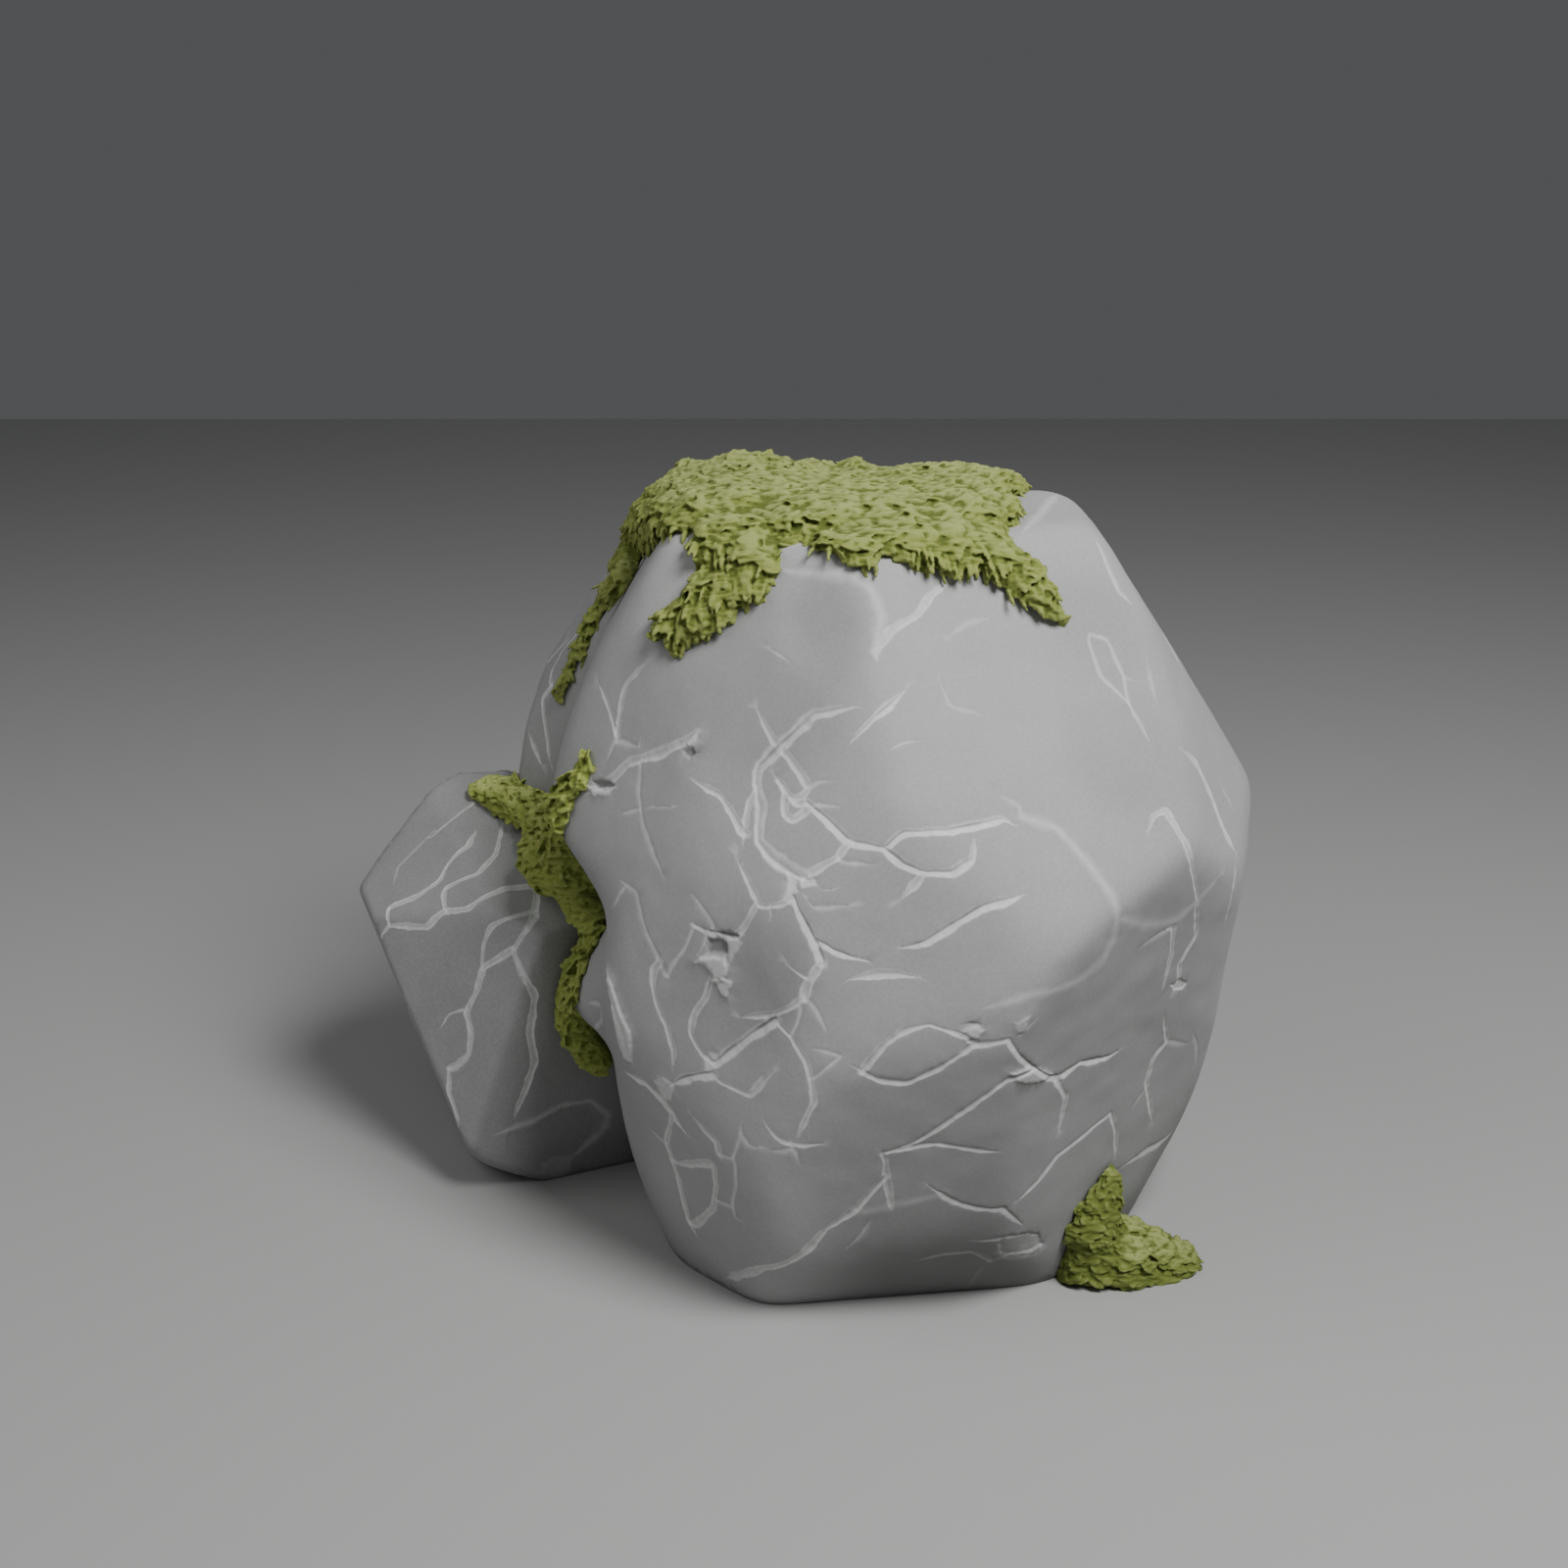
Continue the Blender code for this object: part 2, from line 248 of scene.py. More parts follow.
# %% Cracks on the upper front of the boulder
UPPER_CRACKS = (
    ("rift", 874, 721, 830, 729, 799, 759, 774, 783, 772, 800, 777, 823, 774, 858, 791, 877, 820, 896),
    ("crack", 771, 722, 791, 759),
    ("crack", 796, 764, 806, 773, 819, 792, 826, 805, 817, 813, 810, 817),
    ("hairline", 826, 804, 835, 798, 847, 797),
    ("crack", 795, 797, 805, 812, 814, 821, 823, 819),
    ("hairline", 823, 820, 842, 822, 858, 823),
    ("ghost", 1020, 812, 1034, 819, 1045, 826),
    ("slit", 823, 819, 842, 835, 865, 858, 903, 866, 914, 855, 922, 850, 964, 848, 995, 843, 1024, 835,
     1037, 843),
    ("crack", 788, 788, 801, 807, 801, 832, 810, 837, 823, 827),
    ("crack", 773, 806, 764, 822, 761, 839, 759, 862),
    ("crack", 708, 797, 734, 810, 747, 829, 759, 851),
    ("crack", 820, 894, 836, 886, 855, 875, 865, 861),
    ("hairline", 855, 880, 890, 883),
    ("slit", 903, 867, 922, 882, 944, 891, 973, 890, 992, 877, 994, 855),
    ("crack", 944, 891, 916, 921),
    ("slit", 866, 760, 884, 740, 906, 721, 925, 703),
    ("hairline", 908, 765, 919, 759, 935, 756),
    ("hairline", 785, 662, 804, 674),
    ("ridge", 791, 580, 826, 585, 865, 587, 890, 603, 900, 631, 893, 663),
    ("crack", 976, 587, 951, 606, 935, 628, 909, 644, 893, 666),
    ("crack", 661, 676, 641, 695, 635, 711, 632, 733, 629, 749),
    ("crack", 610, 695, 619, 714, 626, 737, 630, 751),
    ("hairline", 630, 751, 619, 778),
    ("hairline", 630, 756, 651, 762),
    ("cleft", 600, 810, 626, 794, 641, 778, 673, 768, 699, 756, 712, 743),
    ("hairline", 653, 781, 651, 807, 656, 842, 667, 874, 675, 891),
    ("hairline", 635, 831, 649, 827),
    ("hairline", 667, 824, 685, 824),
    ("hairline", 1109, 647, 1123, 689, 1152, 717, 1174, 759),
    ("hairline", 1112, 647, 1130, 652, 1146, 689, 1152, 717),
    ("ghost", 1147, 692, 1163, 695),
    ("ghost", 1171, 674, 1174, 695, 1181, 719),
    ("hairline", 1117, 550, 1130, 577, 1142, 603, 1157, 619),
    ("crack", 1206, 765, 1222, 781, 1238, 816, 1251, 851, 1260, 869),
    ("crack", 1171, 848, 1177, 831, 1189, 827, 1203, 851, 1216, 883, 1222, 915),
    ("ghost", 969, 649, 989, 635, 1010, 631),
    ("ghost", 957, 692, 969, 721, 1005, 730),
    ("ghost", 1243, 794, 1260, 829),
    ("ridge", 1079, 504, 1062, 524, 1043, 545),
)
print(len(UPPER_CRACKS), "cracks on the upper front")

# %% Cracks round the middle of the boulder
MIDDLE_CRACKS = (
    ("crack", 804, 917, 798, 923, 775, 925),
    ("crack", 750, 872, 763, 898, 774, 920, 759, 946, 753, 955),
    ("hairline", 788, 930, 785, 941),
    ("rift", 807, 911, 817, 933, 830, 959, 838, 978, 842, 989),
    ("slit", 836, 960, 852, 971, 874, 978, 887, 981),
    ("hairline", 823, 917, 830, 927, 868, 925),
    ("hairline", 839, 908, 850, 909),
    ("slit", 919, 968, 944, 962, 970, 946, 999, 927, 1046, 912),
    ("crack", 865, 1000, 893, 994, 919, 994, 940, 998),
    ("cleft", 838, 984, 826, 1000, 820, 1016),
    ("crack", 801, 981, 820, 997),
    ("crack", 820, 1018, 804, 1029, 788, 1035, 753, 1038),
    ("rift", 791, 1041, 766, 1057, 740, 1077, 728, 1088),
    ("crack", 791, 1041, 807, 1057, 823, 1083, 828, 1105, 831, 1124, 823, 1140, 814, 1159),
    ("hairline", 823, 1019, 833, 1032, 844, 1054),
    ("hairline", 818, 1026, 812, 1051),
    ("hairline", 830, 1070, 855, 1077),
    ("hairline", 833, 1099, 858, 1078),
    ("slit", 708, 943, 724, 951, 740, 955, 756, 955),
    ("hairline", 705, 911, 721, 933, 731, 949),
    ("hairline", 708, 944, 699, 968, 686, 984, 680, 997),
    ("hairline", 721, 959, 712, 975),
    ("crack", 728, 987, 721, 1016, 708, 1035, 704, 1054, 715, 1073, 728, 1086),
    ("hairline", 632, 898, 649, 911, 653, 933, 659, 952, 670, 975, 680, 997),
    ("hairline", 624, 927, 638, 904),
    ("crack", 667, 984, 665, 1003, 670, 1026, 680, 1048, 688, 1073, 686, 1089),
    ("cleft", 621, 994, 627, 1026, 635, 1051, 645, 1086),
    ("hairline", 600, 1024, 613, 1026, 614, 1041, 606, 1051),
    ("ridge", 1037, 832, 1079, 845, 1104, 874, 1131, 909, 1140, 928, 1137, 957, 1124, 982, 1099, 1001,
     1054, 1014, 1003, 1030),
    ("ridge", 1143, 937, 1169, 944, 1198, 941, 1223, 918, 1245, 893, 1276, 855),
    ("hairline", 1198, 944, 1166, 965),
    ("hairline", 1260, 880, 1257, 912, 1251, 940),
    ("crack", 1198, 947, 1196, 972, 1186, 1009),
    ("crack", 1221, 921, 1221, 953, 1204, 982, 1202, 1004),
)
print(len(MIDDLE_CRACKS), "cracks round the middle")

# %% Cracks round the foot of the boulder
FOOT_CRACKS = (
    ("slit", 616, 1081, 638, 1093, 657, 1105, 677, 1124, 692, 1147, 702, 1159),
    ("rift", 680, 1108, 702, 1099, 724, 1096),
    ("crack", 728, 1096, 737, 1105, 766, 1118, 779, 1102, 791, 1093),
    ("crack", 685, 1140, 680, 1166, 692, 1201, 702, 1242, 712, 1262),
    ("hairline", 662, 1150, 678, 1167),
    ("crack", 705, 1137, 718, 1153, 732, 1166, 734, 1179),
    ("crack", 692, 1187, 728, 1187, 731, 1210, 728, 1233, 710, 1250),
    ("hairline", 734, 1179, 747, 1183, 756, 1159, 756, 1147),
    ("hairline", 756, 1159, 766, 1171, 775, 1172),
    ("hairline", 750, 1185, 751, 1210, 747, 1226, 750, 1242, 759, 1246),
    ("hairline", 732, 1226, 747, 1231),
    ("crack", 779, 1144, 791, 1159, 807, 1167, 842, 1167),
    ("hairline", 807, 1167, 815, 1187),
    ("hairline", 787, 1175, 807, 1175),
    ("crack", 871, 1088, 897, 1102, 925, 1105, 960, 1089, 992, 1067, 1030, 1061),
    ("crack", 884, 1086, 900, 1067, 922, 1051, 948, 1045, 976, 1054, 992, 1061),
    ("slit", 1030, 1061, 1040, 1077, 1053, 1089, 1069, 1099, 1081, 1099, 1102, 1084, 1131, 1079,
     1143, 1071),
    ("hairline", 1040, 1057, 1056, 1041),
    ("crack", 1053, 1092, 1027, 1102, 983, 1134, 932, 1167, 900, 1177),
    ("crack", 1078, 1099, 1088, 1118, 1080, 1153),
    ("crack", 900, 1177, 938, 1169, 960, 1167, 1018, 1175),
    ("crack", 903, 1179, 905, 1201, 909, 1226),
    ("crack", 903, 1201, 871, 1236, 842, 1255, 820, 1279, 780, 1293, 740, 1305),
    ("ridge", 871, 1239, 906, 1231, 944, 1223, 970, 1217),
    ("slit", 946, 1209, 967, 1223, 986, 1231, 1024, 1233, 1043, 1249),
    ("crack", 1037, 1226, 1059, 1204, 1078, 1179, 1102, 1161, 1134, 1135),
    ("hairline", 890, 1242, 881, 1258, 865, 1274),
    ("crack", 1188, 1036, 1191, 1062, 1178, 1078, 1170, 1103, 1175, 1143),
    ("hairline", 1193, 1063, 1209, 1065),
    ("hairline", 1169, 1110, 1156, 1129),
    ("hairline", 1217, 1054, 1221, 1068, 1220, 1087),
    ("crack", 1134, 1135, 1139, 1157, 1137, 1183),
    ("crack", 1198, 1151, 1169, 1173, 1142, 1192),
    ("crack", 936, 1287, 962, 1280, 993, 1277, 1009, 1285),
    ("crack", 995, 1266, 1022, 1263, 1048, 1258, 1064, 1261),
    ("hairline", 1006, 1288, 1022, 1282, 1054, 1280),
    ("hairline", 1003, 1291, 987, 1314),
)
print(len(FOOT_CRACKS), "cracks round the foot")

# %% Cracks on the two smaller stones
SIDE_CRACKS = (
    ("crack", 374, 928, 398, 925, 427, 914, 449, 898, 455, 885),
    ("cleft", 395, 944, 436, 946, 452, 930, 478, 927, 497, 914, 516, 906, 548, 904),
    ("crack", 396, 927, 398, 943, 388, 957),
    ("crack", 452, 908, 454, 928),
    ("crack", 455, 906, 487, 892, 506, 872, 513, 841),
    ("crack", 484, 850, 478, 863, 455, 885),
    ("hairline", 490, 815, 455, 841, 436, 857),
    ("ghost", 401, 904, 406, 885, 427, 863, 446, 844),
    ("cleft", 548, 908, 545, 936, 525, 968, 493, 987, 487, 1010, 476, 1032, 481, 1054, 478, 1077,
     462, 1091),
    ("crack", 545, 930, 522, 936, 500, 946, 493, 965, 492, 987),
    ("cleft", 524, 971, 535, 997, 546, 1016, 541, 1054, 546, 1083, 535, 1115, 524, 1140),
    ("hairline", 476, 1029, 458, 1035, 450, 1048),
    ("crack", 438, 1102, 458, 1086, 458, 1115, 468, 1144, 471, 1159),
    ("hairline", 388, 962, 407, 1006),
    ("ridge", 471, 1161, 503, 1158, 541, 1145, 573, 1128, 602, 1123, 621, 1137, 615, 1153, 583, 1182),
)
BACK_CRACKS = (
    ("crack", 622, 595, 607, 619, 589, 646, 575, 662, 563, 683, 563, 698),
    ("crack", 563, 699, 554, 712, 554, 728, 558, 751, 562, 779),
    ("crack", 539, 745, 546, 763, 554, 782),
)
DRAWN_CRACKS = {
    "boulder": UPPER_CRACKS + MIDDLE_CRACKS + FOOT_CRACKS,
    "side_stone": SIDE_CRACKS,
    "back_stone": BACK_CRACKS,
}
print({stone: len(drawn) for stone, drawn in DRAWN_CRACKS.items()}, "cracks drawn")

# %% [markdown]
# ## Laying the cracks on the stone
#
# Each drawn corner is carried along its sight line to the stone. The line through the corners
# is rounded, set out in even steps and given a little waver, so that it isn't a ruler's line.
# A crack thins to nothing at a free end, and keeps its width where it runs into another one.

# %% Round a line and set it out in even steps
ROW_STEP = 1.25 * MM
CORNER_CUT = 0.2


def rounded(corners):
    """A line through corners with each corner cut off, three times over."""
    for _ in range(3):
        inner = np.empty((2 * len(corners) - 2, 3))
        inner[0::2] = (1 - CORNER_CUT) * corners[:-1] + CORNER_CUT * corners[1:]
        inner[1::2] = CORNER_CUT * corners[:-1] + (1 - CORNER_CUT) * corners[1:]
        corners = np.vstack((corners[:1], inner, corners[-1:]))
    return corners


def even_steps(line, step):
    """Places set out evenly along a line."""
    run = np.concatenate(((0.0,), np.cumsum(np.linalg.norm(np.diff(line, axis=0), axis=1))))
    count = max(int(run[-1] / step), 3)
    stations = np.linspace(0.0, run[-1], count + 1)
    return np.stack([np.interp(stations, run, line[:, i]) for i in range(3)], 1)


def noise_at(points, per_metre, shift=0.0):
    """Smooth noise between about -1 and 1 at each point."""
    places = points * per_metre + shift
    return np.array([noise.noise(place) for place in places.tolist()])


print("a 10 cm line gets", len(even_steps(np.array(((0, 0, 0), (0.1, 0, 0))), ROW_STEP)), "stations")

# %% Make one crack
WAVER = 0.5 * MM
TAPER = 6


def laid_crack(stone, kind, corners, step, free_ends):
    """A crack along corners on a stone: its stations, the way to its upper lip and its widths."""
    half, deep, slit, wear = KINDS[kind]
    half *= FINER[stone]
    line = onto_skin(stone, even_steps(rounded(corners), step))
    along = unit(np.gradient(line, axis=0))
    out = unit(line - STONES[stone][0])
    side = unit(np.cross(out, along))
    line = onto_skin(stone, line + side * (WAVER * noise_at(line, 90.0)[:, None]))
    if side[:, 2].sum() < 0:
        side = -side
    run = np.arange(len(line)) * step
    taper = np.ones(len(line))
    if free_ends[0]:
        taper = np.minimum(taper, 0.15 + run / (TAPER * half * MM))
    if free_ends[1]:
        taper = np.minimum(taper, 0.15 + run[::-1] / (TAPER * half * MM))
    # Its width swells and shrinks along the way, and the painted shade of the slit shows only here and there.
    width = half * MM * taper * (0.92 + 0.45 * noise_at(line, 48.0, 7.0) + 0.25 * noise_at(line, 150.0, 2.0))
    slit_shading = slit * np.clip(0.1 + 2.4 * noise_at(line, 38.0, 31.0), 0.0, 1.0)
    return {"kind": kind, "line": line, "side": side, "width": width, "depth": width * deep,
            "slit": slit_shading, "wear": wear * (0.6 + 0.4 * taper)}


print("a free end thins out over", TAPER, "half-widths")

# %% Join cracks that nearly meet
JOIN_REACH = 7.0 * MM


def join_ends(lines):
    """Snaps each end that stops near another line onto it. It says which ends stay free."""
    free = []
    for i, line in enumerate(lines):
        others = np.vstack([other for j, other in enumerate(lines) if j != i])
        ends = []
        for end in (0, -1):
            far = np.linalg.norm(others - line[end], axis=1)
            ends.append(far.min() > JOIN_REACH)
            if not ends[-1]:
                line[end] = others[far.argmin()]
        free.append(ends)
    return free


print("ends closer than", JOIN_REACH / MM, "mm are joined")

# %% Lay every drawn crack
CORNER_STEP = 4.0 * MM


def lay_drawn(stone):
    kinds, corners = [], []
    for kind, *numbers in DRAWN_CRACKS[stone]:
        met, places = first_met(np.array(numbers, float).reshape(-1, 2))
        places = places[met == stone]
        if len(places) > 1:
            kinds.append(kind)
            corners.append(even_steps(places, CORNER_STEP))
    free = join_ends(corners)
    return [laid_crack(stone, k, c, ROW_STEP, f) for k, c, f in zip(kinds, corners, free)]


cracks = {stone: lay_drawn(stone) for stone in STONES}
for stone, found in cracks.items():
    print(stone, len(found), "cracks,", round(sum(len(c["line"]) for c in found) * ROW_STEP, 2), "m")

# %% [markdown]
# ## Cracks where nobody has drawn any
#
# The back, the far sides and the crown are as old as the front, so they have cracks as well.
# These are grown rather than drawn: each one starts somewhere, wanders over the skin, drifts a
# little at every step, kinks now to one side and now to the other as a real crack does, forks
# here and there, and stops when it meets another one.

# %% How squarely the skin faces the eye
# Skin that faces the eye more squarely than this has its cracks drawn.
SEEN = 0.12


def faces_eye(stone, points):
    """How squarely the skin at each point faces the eye."""
    a_bit = 2 * MM
    out = unit(points - STONES[stone][0])
    across = unit(np.cross(out, np.array((0.31, 0.17, 0.93))))
    other = np.cross(out, across)
    normal = np.cross(
        onto_skin(stone, points + across * a_bit) - points,
        onto_skin(stone, points + other * a_bit) - points,
    )
    normal = unit(normal) * np.sign((normal * out).sum(1))[:, None]
    return (normal * unit(EYE - points)).sum(1)


crown = onto_skin("boulder", np.array([[0.0, 0.0, 0.9]]))
print("the crown faces the eye by", faces_eye("boulder", crown).round(2))

# %% Wander over the skin
WANDER_STEP = 5.0 * MM
# The turn at each step, in radians: its first size, how much of it lasts, and how much is new.
FIRST_TURN, TURN_KEPT, NEW_TURN = 0.04, 0.6, 0.05
KINK, KINK_CHANCE = 0.38, 0.16
# Too low, and too close to another crack, to go on. The last few of its own steps don't count.
LOWEST_STEP, TOO_CLOSE, OWN_STEPS = 12.0 * MM, 6.0 * MM, 6


def wander(stone, start, heading, steps, rng, occupied):
    """One crack grown from a start, as a list of places, and whether it ran into another."""
    line, met = [start], False
    turn, kink = rng.normal(0.0, FIRST_TURN), rng.choice((-KINK, KINK))
    for count in range(steps):
        here = line[-1]
        out = unit(here - STONES[stone][0])
        turn = TURN_KEPT * turn + rng.normal(0.0, NEW_TURN)
        if rng.random() < KINK_CHANCE:
            turn, kink = turn + kink, -kink
        heading = heading - out * (heading @ out)
        heading = unit(heading + np.cross(out, heading) * turn)
        there = onto_skin(stone, (here + heading * WANDER_STEP)[None])[0]
        if there[2] < LOWEST_STEP or faces_eye(stone, there[None])[0] > SEEN:
            break
        line.append(there)
        taken = np.vstack((occupied, *line[:-OWN_STEPS]))
        if count > 3 and np.linalg.norm(taken - there, axis=1).min() < TOO_CLOSE:
            met = True
            break
    return np.array(line), met


print("a crack kinks about every", round(WANDER_STEP / KINK_CHANCE / MM), "mm")

# %% Grow the cracks of each stone
WANDER_ROW_STEP = 2.0 * MM
WANDERERS = {"boulder": 40, "side_stone": 11, "back_stone": 16}
WANDER_KINDS = ("crack", "crack", "hairline", "slit", "cleft")
START_TRIES, LOWEST_START = 900, 30.0 * MM
STEPS_FROM, STEPS_TO, LEAST_STEPS = 14, 44, 4
# A fork is tried every few steps. It leaves at a slant and is shorter than the crack it leaves.
FORK_EVERY, FORK_CHANCE, FORK_SLANT, FORK_SHARE = 9, 0.6, 1.2, 0.6
# A crack that would close a loop smaller than this isn't kept.
SMALLEST_LOOP = 60.0 * MM


def grow_cracks(stone, seed):
    """The cracks grown on a stone where none is drawn."""
    rng = np.random.default_rng(seed)
    lines = []
    occupied = np.vstack([crack["line"] for crack in cracks[stone]])
    starts = onto_skin(stone, STONES[stone][0] + unit(rng.normal(size=(START_TRIES, 3))))
    hidden = starts[(faces_eye(stone, starts) < SEEN) & (starts[:, 2] > LOWEST_START)]
    for start in hidden[: WANDERERS[stone]]:
        branches = [(start, rng.normal(size=3), rng.integers(STEPS_FROM, STEPS_TO))]
        while branches:
            begin, heading, steps = branches.pop()
            line, met = wander(stone, begin, heading, steps, rng, occupied)
            closes_loop = met and np.linalg.norm(line[-1] - begin) < SMALLEST_LOOP
            if len(line) > LEAST_STEPS and not closes_loop:
                lines.append(line)
                for fork in range(6, len(line) - 3, FORK_EVERY):
                    if rng.random() < FORK_CHANCE and len(lines) < 3 * WANDERERS[stone]:
                        away = line[fork + 1] - line[fork - 1]
                        swing = np.cross(unit(line[fork]), away) * rng.choice((-FORK_SLANT, FORK_SLANT))
                        branches.append((line[fork], away + swing, int(steps * FORK_SHARE)))
                occupied = np.vstack((occupied, line))
    free = join_ends(lines)
    kinds = rng.choice(WANDER_KINDS, len(lines))
    return [
        laid_crack(stone, k, even_steps(line, CORNER_STEP), WANDER_ROW_STEP, f)
        for k, line, f in zip(kinds, lines, free)
    ]


for seed, stone in enumerate(STONES):
    added = grow_cracks(stone, 40 + seed)
    cracks[stone] += added
    print(stone, len(added), "grown,", round(sum(len(c["line"]) for c in added) * WANDER_ROW_STEP, 2), "m")

# %% [markdown]
# ## Scars, lumps and the hollow
#
# Here and there a flake has come away, a pit has weathered in or a lump stands proud. Stone
# breaks in flat little faces, so each scar is drawn by its corners, as the cracks are, and
# the stone inside is sunk or lifted, and worn pale or painted dark as shade. One wide and shallow
# hollow lies under the moss: that one is a smooth bowl.

# %% Draw the scars
# For each: lift in mm, softness of the edge in mm, how pale, how dark it is painted as shade where it is
# sunk, then the corners.
SCARS = {
    "square chip": (-0.8, 1.2, 1.0, 0.0, 817, 897, 832, 895, 835, 903, 818, 906),
    "web by the chip": (-0.7, 2.0, 0.9, 0.0, 803, 890, 813, 896, 815, 909, 807, 922, 800, 918, 804, 905),
    "pit": (-2.6, 2.8, 0.0, 0.3, 722, 959, 733, 957, 742, 963, 743, 972, 722, 974),
    "right wall of the pit": (0.6, 1.5, 0.85, 0.0, 741, 955, 752, 957, 757, 962,
                              748, 978, 744, 985, 742, 970),
    "slot over the pit": (-1.8, 1.6, 0.0, 0.35, 732, 950, 745, 951, 755, 955, 752, 958, 740, 955),
    "lump under the pit": (2.2, 3.4, 0.9, 0.0, 709, 982, 716, 976, 726, 975, 740, 976, 743, 985, 742, 995,
                           737, 1001, 728, 1000, 726, 990, 718, 984),
    "tail of the lump": (1.2, 2.0, 0.9, 0.0, 724, 1000, 738, 998, 748, 1002, 741, 1017, 736, 1015, 731, 1004),
    "web of the fork": (-0.8, 2.0, 0.9, 0.0, 724, 1072, 734, 1075, 733, 1084,
                        728, 1094, 720, 1090, 719, 1080),
    "knot by the slit": (0.8, 2.0, 0.6, 0.0, 667, 1104, 676, 1099, 683, 1104,
                         688, 1110, 684, 1124, 677, 1122),
    "flake by the right crack": (0.5, 1.8, 0.5, 0.0, 1035, 1044, 1051, 1037, 1046, 1053, 1038, 1055),
    "spear": (1.8, 2.6, 0.8, 0.0, 620, 992, 626, 1005, 631, 1025, 639, 1044, 645, 1058, 645, 1085, 637, 1080,
              632, 1066, 628, 1050, 624, 1025),
    "lip over the right crack": (1.0, 2.6, 0.8, 0.0, 1031, 1096, 1045, 1090, 1060, 1090, 1074, 1096,
                                 1066, 1103, 1050, 1106, 1038, 1104),
    "lip by the fork": (0.9, 2.4, 0.7, 0.0, 978, 1056, 985, 1049, 997, 1047,
                        1005, 1052, 1000, 1060, 986, 1062),
    "dark by the fork": (-0.8, 1.6, 0.0, 0.15, 980, 1046, 992, 1043, 1004, 1046, 992, 1047),
    "three-cornered scar": (-0.8, 1.0, 1.0, 0.0, 1194, 1005, 1204, 999, 1212, 1002, 1206, 1009, 1198, 1010),
    "shoulder pit": (-2.2, 2.0, 0.0, 0.4, 697, 765, 705, 762, 709, 768, 704, 774, 698, 771),
    "flash over the shoulder": (0.6, 1.2, 1.0, 0.0, 700, 758, 713, 744, 710, 757, 704, 762),
    "edge pit": (-2.6, 2.0, 0.0, 0.45, 605, 797, 619, 796, 627, 801, 616, 805, 609, 803),
    "lip of the edge pit": (1.0, 1.5, 1.0, 0.0, 597, 800, 607, 804, 617, 807, 628, 804, 622, 812, 608, 813),
    "under the small stone": (-1.2, 5.0, 0.0, 0.04, 545, 1150, 562, 1137, 592, 1127, 604, 1127,
                              612, 1142, 604, 1160, 583, 1184, 560, 1198, 520, 1204, 492, 1190,
                              470, 1166, 500, 1160),
    "chip under the small stone": (1.0, 3.0, 0.2, 0.0, 554, 1187, 568, 1181, 584, 1180,
                                   583, 1194, 571, 1202, 553, 1198),
    "foot scar": (-1.2, 2.0, 0.45, 0.0, 1018, 1269, 1030, 1260, 1060, 1258,
                  1064, 1270, 1050, 1278, 1022, 1281),
}
print(len(SCARS), "scars drawn")

# %% Lay the scars on the stones
def laid_scars():
    """For each scar: its stone, its middle, the two axes of its plane, its flat outline and strengths."""
    laid = []
    for title, (lift, soft, pale, dark, *numbers) in SCARS.items():
        met, corners = first_met(np.array(numbers, float).reshape(-1, 2))
        stone = met[0]
        corners = corners[met == stone]
        if not stone or len(corners) < 3:
            print(title, "misses the stones")
            continue
        middle = corners.mean(0)
        out = unit(middle - STONES[stone][0])
        across = unit(np.cross((0.0, 0.0, 1.0), out))
        axes = np.array((across, np.cross(out, across)))
        laid.append((stone, middle, axes, (corners - middle) @ axes.T, lift * MM, soft * MM, pale, dark))
    return laid


LEAST_RISE = 1e-12


def depth_in_outline(flat, outline):
    """How far inside an outline each flat point is; less than nothing outside it."""
    distance = np.full(len(flat), np.inf)
    inside = np.zeros(len(flat), bool)
    for a, b in zip(outline, np.roll(outline, -1, axis=0)):
        edge, away = b - a, flat - a
        share = np.clip(away @ edge / (edge @ edge), 0.0, 1.0)
        distance = np.minimum(distance, np.linalg.norm(away - share[:, None] * edge, axis=1))
        crosses = (a[1] > flat[:, 1]) != (b[1] > flat[:, 1])
        rise = edge[1] if abs(edge[1]) > LEAST_RISE else LEAST_RISE
        inside ^= crosses & (flat[:, 0] < a[0] + (flat[:, 1] - a[1]) * edge[0] / rise)
    return np.where(inside, distance, -distance)


scars = laid_scars()
HOLLOW_SPOT, HOLLOW_RADIUS, HOLLOW_DEPTH = (838, 634), 42 * MM, 3.4 * MM
HOLLOW_MIDDLE = first_met([HOLLOW_SPOT])[1][0]
print(len(scars), "scars laid, and the hollow at", HOLLOW_MIDDLE.round(3))

# %% [markdown]
# ## How deep and how pale the stone is at a point
#
# Everything about the cracks comes down to a few numbers at each point of the skin: how far it
# sinks, how pale it is worn and how dark it is painted down a slit, as shade. The numbers follow
# from the nearest station of each crack: which side of it the point is on, and how many widths away.
# The first number moves the points of the mesh, and the others are kept with them, for the
# stone's finish to read.

# %% Profiles across a crack, from its lower lip to its upper lip, in half-widths
STEPPED = ((-1.35, 0.0), (-0.95, -0.08), (-0.1, -0.75), (0.18, -1.0), (0.4, -1.0), (0.74, -0.1), (1.35, 0.0))
GROOVED = ((-1.3, 0.0), (-0.9, -0.08), (-0.3, -1.0), (0.3, -1.0), (0.9, -0.08), (1.3, 0.0))
NARROW = ((-1.25, 0.0), (0.0, -1.0), (1.25, 0.0))
# The painted shade down a slit, across it in half-widths.
SLIT_SHADE_ACROSS = ((0.08, 0.0), (0.22, 1.0), (0.46, 1.0), (0.62, 0.0))
